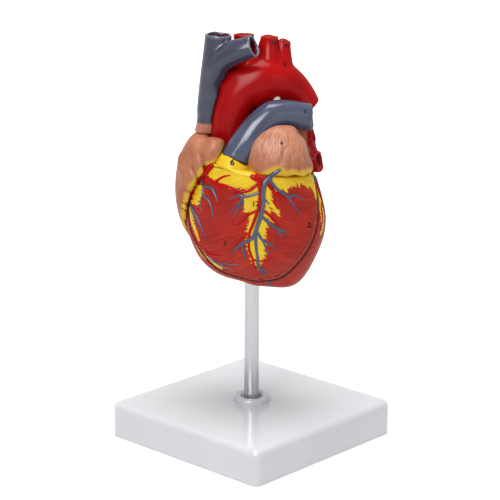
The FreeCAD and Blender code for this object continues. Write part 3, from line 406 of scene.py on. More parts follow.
# The ligament is painted pale, and whiter still as a painted highlight.
LIGAMENT = plain_finish("ligament_white", tone(238, 235, 226), tone(224, 218, 204), 2.0, LACQUER)
STEEL = drawn_steel_finish()
ZINC = plain_finish("zinc_plate", tone(150, 152, 156), tone(132, 134, 140), 2.0, METAL)
NICKEL = plain_finish("nickel_plate", tone(140, 139, 135), tone(122, 121, 117), 3.0, METAL)
INK = plain_finish("number_ink", tone(22, 18, 16), tone(34, 28, 24), 1.0,
                   {"Roughness": 0.7, "Specular IOR Level": 0.1})
PAPILLARY = plain_finish("papillary_pink", tone(200, 104, 88), tone(176, 74, 62), 5.0, LACQUER)


# ------------------------------------------------------------------ how castings depart from their solids
# Rounded fillers that run one form into the next: centre, radii and lean in degrees.
FILLERS = {
    "right_atrium_and_auricle": [((-33, -10, 197), (10, 11, 13), -20), ((-40, -6, 186), (9, 9, 14), -15)],
    "lung_veins_left": [((37.5, 12, 195), (4.5, 5, 8), 0)],
    "left_atrium_skin": [((24, 5.5, 183), (9.5, 8, 9), 0)],
}
# Pulls across the view: the spot, how far right and down it goes, and the reach, in view units.
BOTTOM_PULLS = [((240, 284), (0, -2.4), 15), ((268, 291), (0, -2.4), 17)]
BAND_PULLS = [((223.5, 150), (-1, 3.2), 6)]
PULLS = {
    "aortic_arch": [((268, 38), (0, -3), 9), ((285, 43), (-1.5, -4.5), 7), ((260, 46), (-3, 0), 5),
                    ((263, 101), (-2, 6), 8), ((290, 56), (0, -2), 6),
                    ((233, 72), (-5, -2), 8), ((224, 84), (-3, -1), 7)],
    "upper_cava": [((216, 38), (0, -2.2), 8), ((229, 38), (-1, -2.6), 6), ((257, 50), (2, 1), 5),
                   ((250, 38), (0, -2), 6), ((231, 73), (-3, -1), 10), ((221, 88), (-2, 0), 8),
                   ((196, 124), (2, 0), 9)],
    "lung_artery": [((311, 126), (3, 1.5), 6), ((268, 106), (0, -1.5), 9), *BAND_PULLS],
    "root_band": [*BAND_PULLS, ((246, 170), (0, 4.5), 8), ((231, 168), (0, 2), 8)],
    "right_atrium_and_auricle": [((219, 133), (-2, 5), 8), ((226, 143), (-1.5, 0), 6),
                                 ((207, 162), (-0.5, 4), 6), ((201, 171), (2.5, 1.5), 6)],
    "left_auricle_skin": [((306, 130), (-5, 3), 9), ((315, 144), (-6, 0), 9), ((315, 157), (-4.5, 0), 8),
                          ((313, 173), (-1, -3), 8), ((302, 181), (0, -4.5), 9), ((287, 181), (0, -4.5), 9),
                          ((273, 178), (0, -2), 7), ((257, 172), (-1.5, 1.5), 7), ((249, 160), (-2, 0), 8),
                          ((261, 138), (-2.5, -2), 9), ((256, 148), (-4, -1), 9), ((285, 123), (-1, 2), 9)],
    "lung_veins_left": [((316, 130), (-3, 0), 7), ((318, 170), (2.5, 0), 8)],
    "ventricles_back": BOTTOM_PULLS,
    "ventricles_front": BOTTOM_PULLS,
}


# ------------------------------------------------------------------ skins
VOXEL, VESSEL_VOXEL, BAND_VOXEL = 0.75, 0.7, 0.5  # sides of the skins' squares
SMOOTH_FACE = (0.93, 0.985)  # how alike the facings round a point are on a smooth face
SETTLE_ROUNDS, FACING_ROUNDS, CALM_ROUNDS, SOFTEN_ROUNDS = 2, 4, 2, 24


def new_piece(name, mesh, body, material):
    """A piece of the object that rides on a body."""
    piece = new_object(name, mesh)
    mesh.polygons.foreach_set("use_smooth", np.ones(len(mesh.polygons), dtype=bool))
    mesh.materials.append(material)
    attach(piece, body)
    return piece


def settled_mesh(holder):
    """The plain mesh that an object comes to; the object itself goes."""
    mesh = bpy.data.meshes.new_from_object(holder.evaluated_get(bpy.context.evaluated_depsgraph_get()))
    bpy.data.objects.remove(holder)
    return mesh


def voxel_mesh(name, nodes, voxel):
    """The nodes' solids and the casting's fillers joined into one even skin of small squares."""
    block = bmesh.new()
    for node in nodes:
        block.from_mesh(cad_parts[node].data)
    for centre, radii, lean in FILLERS.get(name, ()):
        shape = Matrix.Diagonal((*(radius * MM for radius in radii), 1))
        turned = Matrix.Rotation(math.radians(lean), 4, "Y")
        bmesh.ops.create_uvsphere(block, u_segments=28, v_segments=18, radius=1,
                                  matrix=Matrix.Translation(Vector(centre) * MM) @ turned @ shape)
    rough = bpy.data.meshes.new(f"{name}_rough")
    block.to_mesh(rough)
    block.free()
    holder = new_object(f"{name}_rough", rough)
    voxels = holder.modifiers.new("voxels", "REMESH")
    voxels.mode = "VOXEL"
    voxels.voxel_size = voxel * MM
    mesh = settled_mesh(holder)
    mesh.name = name
    bpy.data.meshes.remove(rough)
    return mesh


LEAST_REACH = 0.01  # for points on an axis, so that nothing is divided by 0


def lengths(rows):
    return np.linalg.norm(rows, axis=1)


def ramp(values, low, high):
    """0 below low, 1 above high, smooth between."""
    t = np.clip((values - low) / (high - low), 0, 1)
    return t * t * (3 - 2 * t)


def ray_tree(mesh, points=None):
    """For casting rays at a mesh, in millimetres."""
    points = points or [vertex.co / MM for vertex in mesh.vertices]
    return BVHTree.FromPolygons(points, [tuple(face.vertices) for face in mesh.polygons])


class Skin:
    """The skin over some nodes' solids, worked as arrays in millimetres."""

    def __init__(self, name, nodes, voxel=VOXEL):
        self.mesh = voxel_mesh(name, nodes, voxel)
        count = len(self.mesh.vertices)
        spots = np.empty(count * 3)
        self.mesh.vertices.foreach_get("co", spots)
        self.at = spots.reshape(-1, 3) / MM
        edges = np.empty(len(self.mesh.edges) * 2, dtype=np.int32)
        self.mesh.edges.foreach_get("vertices", edges)
        self.edges = edges.reshape(-1, 2)
        self.degree = np.bincount(self.edges.ravel(), minlength=count).astype(float)
        self.soften()
        self.drag(PULLS.get(name, ()))

    def drag(self, pulls):
        """Pulls parts of the skin across the view."""
        spots = view_spots(self.at)
        move = np.zeros((len(spots), 2))
        for spot, way, reach in pulls:
            near = np.exp(-((spots - spot) ** 2).sum(1) / reach ** 2)
            move += near[:, None] * way
        depth = (self.at - np.array(EYE)) @ np.array(FORWARD)
        move *= (depth / FOCAL)[:, None]
        self.at += move[:, :1] * np.array(RIGHT) - move[:, 1:] * np.array(ABOVE)

    def around(self, values):
        """The mean of each point's neighbours."""
        one, other = self.edges.T
        columns = values if values.ndim == 2 else values[:, None]
        total = np.stack([np.bincount(one, column[other], len(self.degree))
                          + np.bincount(other, column[one], len(self.degree)) for column in columns.T], 1)
        mean = total / self.degree[:, None]
        return mean if values.ndim == 2 else mean[:, 0]

    def normals(self):
        self.write()
        facing = np.empty(len(self.at) * 3)
        self.mesh.vertex_normals.foreach_get("vector", facing)
        return facing.reshape(-1, 3)

    def write(self):
        self.mesh.vertices.foreach_set("co", (self.at * MM).ravel())
        self.mesh.update()

    def relax(self, rounds, where=1.0):
        """Moves points half way to their neighbours' mean; where is 0 for points that stay."""
        weight = np.broadcast_to(np.asarray(where, float), len(self.at))[:, None]
        for _ in range(rounds):
            self.at += weight * 0.5 * (self.around(self.at) - self.at)

    def soften(self):
        """Takes the facets and voxel steps out of the smooth faces and keeps the cut edges."""
        self.relax(SETTLE_ROUNDS)
        facing = self.normals()
        for _ in range(FACING_ROUNDS):
            facing = self.around(facing)
        calm = ramp(lengths(facing), *SMOOTH_FACE)
        for _ in range(CALM_ROUNDS):
            calm = np.minimum(calm, self.around(calm))
        self.relax(SOFTEN_ROUNDS, calm)

    def push(self, depth):
        """Moves points along their normals by that many millimetres."""
        self.at += self.normals() * np.asarray(depth)[:, None]

    def store(self, name, values):
        """Keeps a number or a vector at each point for the paint."""
        kind = "FLOAT_VECTOR" if np.ndim(values) == 2 else "FLOAT"
        layer = self.mesh.attributes.new(name, kind, "POINT")
        layer.data.foreach_set("vector" if kind == "FLOAT_VECTOR" else "value",
                               np.ascontiguousarray(values, dtype=np.float32).ravel())

    def finish(self, body, material, *nodes):
        self.write()
        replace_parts(new_piece(self.mesh.name, self.mesh, body, material), *nodes)

    def tree(self):
        """For casting rays at this skin."""
        return ray_tree(self.mesh, [Vector(point) for point in self.at])


def segment_distance(spots, points):
    """Distance of each spot to a line through points, and how far along it that is, from 0 to 1."""
    best = np.full(len(spots), 1e9)
    along = np.zeros(len(spots))
    points = np.asarray(points, float)
    spans = lengths(np.diff(points, axis=0))
    before = np.concatenate([[0], np.cumsum(spans)])
    for i, (start, end) in enumerate(zip(points, points[1:])):
        way = end - start
        t = np.clip(((spots - start) @ way) / max(way @ way, 1e-9), 0, 1)
        gap = lengths(spots - start - t[:, None] * way)
        closer = gap < best
        best[closer] = gap[closer]
        along[closer] = ((before[i] + t * spans[i]) / before[-1])[closer]
    return best, along


def inside_distance(spots, outline):
    """How far each spot lies inside a closed outline; negative outside it."""
    outline = np.asarray(outline, float)
    gap, _ = segment_distance(spots, np.vstack([outline, outline[:1]]))
    inside = np.zeros(len(spots), bool)
    x, y = spots.T
    for (x1, y1), (x2, y2) in zip(outline, np.roll(outline, -1, axis=0)):
        crosses = (y1 > y) != (y2 > y)
        inside ^= crosses & (x < (x2 - x1) * (y - y1) / (y2 - y1 + 1e-12) + x1)
    return np.where(inside, gap, -gap)


def stripe_distance(spots, rows):
    """How far each spot lies inside a stripe, whose rows are (across, down, half width)."""
    rows = np.asarray(rows, float)
    gap, along = segment_distance(spots, rows[:, :2])
    spans = lengths(np.diff(rows[:, :2], axis=0))
    marks = np.concatenate([[0], np.cumsum(spans)]) / spans.sum()
    return np.interp(along, marks, rows[:, 2]) - gap


# ------------------------------------------------------------------ the castings' tables
HEART_FLOOR = 106.0  # height of the heart's lowest point above the table
# View outlines and stripes of the yellow fat; a stripe's third number is its half width.
FAT_OUTLINES = [
    [(213, 158), (253, 166), (258, 183), (248, 189.5), (232, 187.5), (216, 182), (207, 178)],
    [(196.5, 184.5), (202.5, 184), (202.8, 196), (198, 207), (191.5, 203)],
    [(268, 172), (312, 173), (316, 182), (312, 189), (301, 184.5), (292, 186.5), (287, 191), (276, 190)],
    [(245, 190), (268, 179), (271.5, 190), (272, 203), (270.5, 212), (267.5, 223), (265.5, 238), (265, 257),
     (259, 268), (252.5, 263), (247.5, 250), (246, 236), (248, 222), (250.5, 213.5), (243.5, 211),
     (243, 198)],
]
CRISP = 4  # how much closer the edge stripes' brushwork keeps to its line
EDGE_FAT_STRIPES = [
    [(190.5, 208, 1.3), (192, 220, 1.5), (195.5, 231, 1.4), (199, 240, 0.9)],
    [(197.5, 246, 1.2), (203.5, 255, 1.9), (212, 262, 1.9), (221.5, 268, 1.2)],
    [(313, 186, 2.6), (319.5, 202, 2.0), (322.5, 215, 1.7), (322.5, 228, 1.2), (320, 236, 0.4)],
]
FAT_STRIPES = [
    [(263, 214, 3), (268, 218, 2.4), (272.5, 221.5, 1)],
    [(268, 200, 3), (274, 208, 2), (279, 215, 0.6)],
]
# The same on the back, as x and height above the heart's lowest point.
BACK_FAT_STRIPES = [
    [(-42, 57, 5), (-20, 55, 7), (0, 58, 7.5), (20, 63, 7), (42, 72, 6)],
    [(-3, 58, 6), (1, 44, 4.2), (4, 30, 3), (8, 18, 1.5)],
    [(14, 57, 4), (22, 44, 2.2), (24, 31, 0.8)],
]
# Yellow rims of the atria: all that lies within these view outlines, which run out past the castings.
ATRIUM_RIM = [(224.5, 141), (220, 152), (216, 158), (209, 161.5), (204, 163), (201, 168), (196, 174),
              (190, 183), (185, 194), (182, 205), (180, 217), (182.5, 228), (190, 240), (197, 246),
              (240, 240), (240, 141)]
AURICLE_RIM = [(240, 158), (246.5, 160), (249.5, 168), (256, 172.5), (263, 172.2), (269.5, 169), (276, 165.5),
               (282, 167), (286.5, 170.8), (293, 169), (299, 172), (305.5, 169.6), (312, 168), (330, 166),
               (330, 190), (240, 190)]
ATRIUM_CREASES = [
    [(200.5, 155), (201.5, 161), (205.5, 168.5)],
    [(190.5, 166), (192.5, 172.5), (197.5, 178.5)],
    [(184, 191), (187, 193.3), (191.5, 192.8)],
    [(180.5, 203), (184.5, 205.2), (190, 204.2)],
    [(180.5, 209), (184, 211.4), (190, 210.6)],
    [(182.5, 219.5), (186.5, 222.4), (191, 222)],
]
AURICLE_CREASES = [
    [(280.5, 159), (279, 164), (277.5, 171)],
    [(291.5, 156), (290.5, 164), (291, 172)],
    [(300.5, 158), (300, 166), (301, 174)],
    [(284.5, 149), (283, 156), (282.5, 163)],
    [(308, 150), (307.5, 158), (309, 166)],
]
# Open ends of the vessels: centre, outer radius and the way out.
OPEN_ENDS = {
    "aortic_arch": [((35.3, 15, 222.5), 9.4, (5.3, 2, -7.5)), ((-6, 8, 271.5), 6.8, (0, 0.5, 8.5)),
                    ((10.7, 7, 269), 6, (0.1, 0.5, 7)), ((20, 12.2, 265), 4.9, (0.5, 0.7, 5.5))],
    "upper_cava": [((-22, 3, 271), 9, (1.5, -0.5, 13)), ((0.5, -13.5, 266.8), 6.6, (10.5, -4, 3.8))],
    "lung_artery": [((36, -8, 220.8), 8.9, (12, 3, -2.2)), ((-34, 25, 212), 7, (-18, -0.5, -2))],
    "lung_veins_left": [((41, 12.5, 203), 6.2, (8, -0.5, -0.5)), ((43.6, 12, 186.5), 7.2, (9.6, -0.5, 0.5))],
    "lung_veins_right": [((-24, 34, 205), 6.2, (-10, 5, 0.5)), ((-23, 36, 186.5), 6.2, (-9, 6, -0.5))],
    "lower_cava": [((-28, 28, 128), 8.8, (-0.5, 2, -14))],
}


# ------------------------------------------------------------------ painted castings
# How squarely a face looks at the camera, from where the view's tables reach it to where they do so fully.
FAT_REACHES, CREASE_REACHES, RIM_REACHES = (-0.25, 0.05), (-0.1, 0.2), (-0.2, 0.1)
# The front groove between the ventricles: height above the heart's lowest point, and x.
GROOVE_LINE = [(0, 12), (6, 9), (33, 2.5), (56, 6.5), (80, 9)]
RIGHT_RISE, LEFT_FALL = 0.55, 0.8  # slopes of the fibres beside the groove
LEVELS_OUT = 18.0  # how far to the left of the groove they are level again
FIBRES_PER_MM = 0.85  # near enough


def groove_x(height):
    heights, across = np.array(GROOVE_LINE).T
    return np.interp(height, heights, across)


def muscle_fibres(at):
    """Fibre lines that rise to the groove from the heart's right, and fall and level out to its left."""
    x, y, z = at.T
    away = x - groove_x(z - HEART_FLOOR)
    climb = np.where(away < 0, RIGHT_RISE * away, LEFT_FALL * LEVELS_OUT * (np.exp(-away / LEVELS_OUT) - 1))
    return np.stack([x, (z - climb) * FIBRES_PER_MM, y], 1)


def facing_view(skin):
    """How squarely each point faces the camera, from -1 to 1."""
    toward = np.array(EYE) - skin.at
    toward /= lengths(toward)[:, None]
    return (skin.normals() * toward).sum(1)


FAR_OUT, DEEP_IN = -12, 6  # how far from the fat's edge the distance to it is kept


def muscle_fat(skin):
    """How far inside the yellow fat each point lies; negative outside it."""
    spots = view_spots(skin.at)
    fat = np.max([inside_distance(spots, outline) for outline in FAT_OUTLINES]
                 + [stripe_distance(spots, rows) for rows in FAT_STRIPES]
                 + [CRISP * stripe_distance(spots, rows) for rows in EDGE_FAT_STRIPES], axis=0)
    behind = skin.at[:, [0, 2]] - (0, HEART_FLOOR)
    back = np.max([stripe_distance(behind, rows) for rows in BACK_FAT_STRIPES], axis=0)
    shown = ramp(facing_view(skin), *FAT_REACHES)
    return np.clip(fat, FAR_OUT, DEEP_IN) * shown + np.clip(back, FAR_OUT, DEEP_IN) * (1 - shown)


UPRIGHT_FROM, UPRIGHT_ABOVE = 277, 203  # right of and above this view spot the fat is brushed upright
UPRIGHT_LEAN = 0.25  # how far those strokes lean to the heart's right as they rise


def fat_strokes(skin, fibres):
    """The way that the fat's edge is brushed: along the fibres, but upright high on the left ventricle."""
    x, y, z = skin.at.T
    across, down = view_spots(skin.at).T
    upright = (across > UPRIGHT_FROM) & (down < UPRIGHT_ABOVE)
    return np.where(upright[:, None], np.stack([z, x * FIBRES_PER_MM + z * UPRIGHT_LEAN, y], 1), fibres)


SEAM_AT = np.array((0, -17.5, 150.0))
SEAM_TURN, SEAM_LEAN = -4.6, -16.5  # degrees about the upright and about x
SEAM_FACING = (0.9, 0.97)  # how squarely a face looks across the seam where it is its cut face
# Distances from the seam that are its cut face, that are rounded into its groove, and that get painted shade.
CUT_FACE, SEAM_EDGE, SEAM_SHADED = (0.6, 1.4), (0.2, 1.9), (1.1, 1.9)
SEAM_SINK = 1.0  # depth of the groove along the seam
FAT_EDGE = (-1.0, 2.5)  # distances inside its edge over which the fat thickens
FAT_SWELL = 0.45  # how thick it gets
RIDGE_DEPTH, RIDGE_SPACING = 0.03, 2.7  # the spacing is in fibre lines
RIDGE_WAVER, RIDGE_WAVE = 1.1, 9  # how much, in radians, and how slowly the ridges waver

# Chambers of the two ventricles: centre and radii, for the paint inside them.
CHAMBERS = [((-20.5, -9, 153), (12.5, 16, 27)), ((24, -4, 152), (14, 19, 28))]
CHAMBER_EDGE = (1.03, 1.07)  # shares of those radii between which the paint ends

# The painted shade of the crease below the root band, in the view: its line, how dark and wide it is, the
# shares of its length between which it fades, and by how much.
ROOT_CREASE = [(213.5, 166.6), (220, 167.8), (228, 170.2), (238, 174.2), (248.5, 176.6)]
ROOT_SHADE, ROOT_WIDTH, ROOT_FADES, ROOT_FADE = 0.85, 0.8, (0.2, 0.75), 0.75


def seam_normal():
    """The way that the seam between the front wall and the back faces."""
    turned = (Matrix.Rotation(math.radians(SEAM_TURN), 3, "Z")
              @ Matrix.Rotation(math.radians(SEAM_LEAN), 3, "X"))
    return np.array(turned @ Vector((0, 1, 0)))


def root_crease_shade(skin):
    """The painted shade in the crease in the fat below the root band, which fades to the heart's left."""
    gap, along = segment_distance(view_spots(skin.at), ROOT_CREASE)
    return ROOT_SHADE * np.exp(-(gap / ROOT_WIDTH) ** 2) * (1 - ROOT_FADE * ramp(along, *ROOT_FADES))


def make_ventricles():
    """The back of the ventricles and the front wall that comes off them."""
    skins = {}
    across_seam = seam_normal()
    for name, node, body in (("ventricles_back", "heart_back", "heart"),
                             ("ventricles_front", "heart_front", "front_wall")):
        skin = Skin(name, [node])
        facing = skin.normals()
        off_seam = np.abs((skin.at - SEAM_AT) @ across_seam)
        cut = ramp(np.abs(facing @ across_seam), *SEAM_FACING) * (1 - ramp(off_seam, *CUT_FACE))
        chamber = np.zeros(len(skin.at))
        for centre, radii in CHAMBERS:
            reach = lengths((skin.at - centre) / radii)
            chamber = np.maximum(chamber, 1 - ramp(reach, *CHAMBER_EDGE))
        fibres = muscle_fibres(skin.at)
        fat = muscle_fat(skin)
        outside = (1 - cut) * (1 - chamber)
        swell = ramp(fat, *FAT_EDGE) * FAT_SWELL * outside
        waver = RIDGE_WAVER * np.sin(fibres[:, 0] / RIDGE_WAVE)
        ridges = RIDGE_DEPTH * np.sin(fibres[:, 1] * 2 * math.pi / RIDGE_SPACING + waver) * outside
        groove = (1 - ramp(off_seam, *SEAM_EDGE)) * outside
        skin.push((swell + ridges) * (1 - groove) - SEAM_SINK * groove)
        # Painted shade along the seam's groove, and in the crease below the root band.
        seam = (1 - ramp(off_seam, *SEAM_SHADED)) * outside
        seam = np.maximum(seam, root_crease_shade(skin) * outside)
        for label, values in (("fat", fat), ("fibre", fibres), ("stroke", fat_strokes(skin, fibres)),
                              ("cut", cut), ("chamber", chamber), ("seam", seam)):
            skin.store(label, values)
        skin.finish(body, MUSCLE, node)
        skins[name] = skin
    return skins


CREASE_CORE = 0.45  # share of a crease's width that its shade fills


def crease(skin, lines, width, depth):
    """Presses view lines into a skin, and returns how deep in one each point lies, for its painted shade."""
    spots = view_spots(skin.at)
    near = np.min([segment_distance(spots, line)[0] for line in lines], axis=0)
    seen = ramp(facing_view(skin), *CREASE_REACHES)
    skin.push(-depth * (np.exp(-(near / width) ** 2) * seen))
    return np.exp(-(near / (width * CREASE_CORE)) ** 2) * seen


AURICLE_X, AURICLE_Y = 18, -2  # middle of the left auricle's dome
DOME_SWELL = 1.1  # how far the whole dome is pushed out
FLUTES_ROUND, FLUTE_DEPTH = 17, 0.65  # the dome's flutes: how many all the way round, and how deep
FLUTES_END, FLUTES_START = (187, 199), (14, 22)  # heights over which they end, and x where they set in


def make_atria():
    """Right atrium with its auricle, left auricle and left atrium, in flesh colour with yellow rims."""
    right = Skin("right_atrium_and_auricle", ["right_atrium", "right_auricle"])
    right.relax(rounds=34)
    deep = crease(right, ATRIUM_CREASES, width=1.7, depth=1.4)
    finish_atrium(right, ATRIUM_RIM, ["right_atrium", "right_auricle"], wrinkle=0.15, shade=deep * 0.85)

    left = Skin("left_auricle_skin", ["left_auricle"])
    left.relax(rounds=18, where=0.9)
    x, y, z = left.at.T
    flutes = np.sin(np.arctan2(x - AURICLE_X, -(y - AURICLE_Y)) * FLUTES_ROUND)
    left.push(DOME_SWELL + FLUTE_DEPTH * (1 - ramp(z, *FLUTES_END)) * flutes * ramp(x, *FLUTES_START))
    deep = crease(left, AURICLE_CREASES, width=1.5, depth=0.7)
    finish_atrium(left, AURICLE_RIM, ["left_auricle"], wrinkle=1.0, shade=deep * 0.3)

    back = Skin("left_atrium_skin", ["left_atrium"])
    finish_atrium(back, AURICLE_RIM, ["left_atrium"], wrinkle=0.25, shade=np.zeros(len(back.at)))


WRINKLES_ROUND = 19  # wrinkles to a radian round an atrium, near enough
WRINKLES_BACK = 0.2  # how much they change with each millimetre to the back
SMOOTH_LOW, WRINKLED_HIGH = -7, 4  # heights from its middle between which its wrinkles set in
WRINKLE_LEAST = 0.15  # share of them that stays low down
RIM_DEEP_IN, RIM_UNSEEN = 4, -8  # greatest distance kept inside the rim, and the distance out of view


def finish_atrium(skin, rim, nodes, wrinkle, shade):
    """Stores what the atrium's paint reads, and puts the skin in its solids' place."""
    x, y, z = skin.at.T
    middle = skin.at.mean(0)
    round_it = np.arctan2(x - middle[0], -(y - middle[1]))
    skin.store("fibre", np.stack([z, round_it * WRINKLES_ROUND, y * WRINKLES_BACK], 1))
    seen = ramp(facing_view(skin), *RIM_REACHES)
    fat = np.clip(inside_distance(view_spots(skin.at), rim), FAR_OUT, RIM_DEEP_IN)
    skin.store("fat", fat * seen + RIM_UNSEEN * (1 - seen))
    height = ramp(z, middle[2] + SMOOTH_LOW, middle[2] + WRINKLED_HIGH)
    skin.store("wrinkle", wrinkle * (WRINKLE_LEAST + (1 - WRINKLE_LEAST) * height))
    # Where the creases' painted shade goes.
    skin.store("crease", shade)
    skin.finish("heart", ATRIUM, *nodes)


CAVA_FOOT = 213.9  # height at which the cava's slate paint ends
CAVA_AXIS, CAVA_RADIUS = (-29, 8), 8.7  # x and y of its axis near its foot, and its outer radius there
TUCKED, TUCK_SHARE = (214, 219), 0.8  # heights over which the collar's tuck fades out, and its share
# View line along which the left lung veins leave the atrium.
LUNG_VEIN_ROOTS = [(307.3, 124), (309, 140), (310.4, 150), (311.5, 160), (312, 178)]
CAVA_BLEND, LUNG_VEIN_BLEND = 0.4, 0.5  # half widths over which the paints at those feet meet


def tuck_in_foot(skin):
    """Brings the collar at the cava's foot flush with the vessel above it."""
    off = skin.at[:, :2] - CAVA_AXIS
    reach = lengths(off)
    low = 1 - ramp(skin.at[:, 2], *TUCKED)
    excess = np.maximum(reach - CAVA_RADIUS, 0) * TUCK_SHARE * low
    skin.at[:, :2] -= off / np.maximum(reach, LEAST_REACH)[:, None] * excess[:, None]


def painted_foot(skin, name):
    """Where a vessel is painted in the atrium's flesh colour, close to where it leaves it."""
    if name == "upper_cava":
        return 1 - ramp(skin.at[:, 2], CAVA_FOOT - CAVA_BLEND, CAVA_FOOT + CAVA_BLEND)
    if name == "lung_veins_left":
        across, down = view_spots(skin.at).T
        edge, height = np.array(LUNG_VEIN_ROOTS).T
        return 1 - ramp(across - np.interp(down, height, edge), -LUNG_VEIN_BLEND, LUNG_VEIN_BLEND)
    return np.zeros(len(skin.at))


BEVELS = {"lung_veins_left": 0.3}  # slant of the cut ends, towards the heart's front
BEVELLED = (-9, -1)  # depths at an open end over which the slant sets in
END_MARGIN, RIM_MARGIN = 1.5, 1  # how far past the outer radius a slant and a cut rim reach
VESSEL_WALL = 1.8  # how thick the great vessels' walls are
BORE_PAINT, BORE_EDGE = (-26, -22), (-1.6, -1.0)  # depths, and reach from the outer radius
RIM_PAINT, RIM_EDGE = (-0.9, -0.5), (-0.2, 0.3)  # depths, and reach from the bore's radius
BORE_FACING = (0.0, 0.3)  # how squarely a face looks inwards where it is the bore's


def about_end(skin, centre, out):
    """The way out of an open end, and each point's depth along it and offset from its axis."""
    way = np.array(out, float) / np.linalg.norm(out)
    off = skin.at - centre
    depth = off @ way
    return way, depth, off - depth[:, None] * way


def bevel_end(skin, centre, radius, out, slant):
    """Slants a vessel's cut end so that its mouth turns a little to the front."""
    way, depth, aside = about_end(skin, centre, out)
    near = lengths(aside) < radius + END_MARGIN
    behind = skin.at[:, 1] - centre[1]
    skin.at += (slant * behind * ramp(depth, *BEVELLED) * near)[:, None] * way


def bore_and_rim(skin, ends):
    """Where the vessel's bore, red with painted shade, and its cut rims are."""
    facing = skin.normals()
    bore = np.zeros(len(skin.at))
    rim = np.zeros(len(skin.at))
    for centre, radius, out in ends:
        _, depth, aside = about_end(skin, centre, out)
        reach = lengths(aside)
        radial = aside / np.maximum(reach, LEAST_REACH)[:, None]
        inward = ramp(-(facing * radial).sum(1), *BORE_FACING)
        within = ramp(depth, *BORE_PAINT) * inward * (1 - ramp(reach - radius, *BORE_EDGE))
        bore = np.maximum(bore, within)
        on_end = ramp(depth, *RIM_PAINT) * ramp(reach - (radius - VESSEL_WALL), *RIM_EDGE)
        rim = np.maximum(rim, on_end * (reach < radius + RIM_MARGIN))
    return bore * (1 - rim), rim


def make_root_band():
    """The yellow band around the root of the lung artery."""
    band = Skin("root_band", ["pulmonary_root_band"], BAND_VOXEL)
    band.finish("heart", BAND, "pulmonary_root_band")


def make_vessels():
    """The great vessels, each joined to its branches with a soft fillet."""
    for name, nodes, material in (
            ("aortic_arch", ["aorta", "brachiocephalic_artery", "left_carotid_artery",
                             "left_subclavian_artery"], RED_VESSEL),
            ("upper_cava", ["superior_vena_cava", "left_brachiocephalic_vein", "vena_cava_collar"],
             SLATE_VESSEL),
            ("lung_artery", ["pulmonary_trunk", "right_pulmonary_artery"], BLUE_VESSEL),
            ("lung_veins_left", ["left_pulmonary_veins"], RED_VESSEL),
            ("lung_veins_right", ["right_pulmonary_veins"], RED_VESSEL),
            ("lower_cava", ["inferior_vena_cava"], SLATE_VESSEL)):
        skin = Skin(name, nodes, VESSEL_VOXEL)
        skin.store("foot", painted_foot(skin, name))
        if name == "upper_cava":
            tuck_in_foot(skin)
        for centre, radius, out in OPEN_ENDS[name]:
            bevel_end(skin, centre, radius, out, BEVELS.get(name, 0))
        bore, rim = bore_and_rim(skin, OPEN_ENDS[name])
        skin.store("lumen", bore)
        skin.store("rim", rim)
        skin.finish("heart", material, *nodes)


# ------------------------------------------------------------------ relief vessels
# Runs in the view: across, down and radius in millimetres.
FRONT_VEINS = [
    [(275, 174.4, 1.5), (271, 176.6, 1.5), (264.7, 183, 1.5), (263, 194, 1.45), (263, 205, 1.35),
     (261, 214.5, 1.3),
     (257, 227, 1.2), (254, 236, 1.15), (250, 239.5, 1.1), (240.5, 244.7, 0.9), (231.8, 252.3, 0.35)],
    [(241.6, 245.5, 0.8), (244, 251, 0.7), (244.8, 260, 0.3)],
    [(255.5, 235, 0.95), (256, 246, 0.9), (257.5, 257, 0.8), (258.6, 266, 1.0), (264.4, 274.6, 0.8)],
    [(259, 268, 0.8), (263, 270, 0.5), (268, 271.5, 0.25)],
    [(257.5, 232, 0.8), (261.5, 239, 0.8), (266.6, 242.5, 0.75), (270, 244, 0.7), (275, 249, 0.3)],
    [(262.6, 240.5, 0.6), (266.6, 249.4, 0.5), (269.5, 255, 0.2)],
    [(269.5, 179, 1.0), (275.6, 187.6, 0.95), (287.6, 196.2, 0.9), (294, 194.8, 0.7), (303, 199.6, 0.3)],
    [(286.5, 195.6, 0.8), (290, 200, 0.7), (293.4, 204.8, 0.6), (300.9, 214.5, 0.2)],
    [(262, 216.4, 0.8), (268.7, 222.6, 1.0), (276.7, 228.3, 0.9), (283, 231, 0.7), (289.4, 233, 0.25)],
    [(277, 228.5, 0.7), (282.5, 238, 0.3)],
    [(262.5, 191.4, 0.9), (253.8, 194.4, 0.85), (243.4, 196.7, 0.85), (240.5, 195.2, 0.7),
     (228.5, 199, 0.25)],
    [(242, 196.5, 0.8), (243, 203, 0.75), (243, 211.7, 0.3)],
    [(242, 199, 0.7), (238.4, 206, 0.65), (234, 217.6, 0.25)],
    [(240, 203.5, 0.5), (234, 208, 0.4), (228.5, 214, 0.2)],
    [(264.2, 198.5, 0.6), (269.3, 204.2, 0.3)],
]
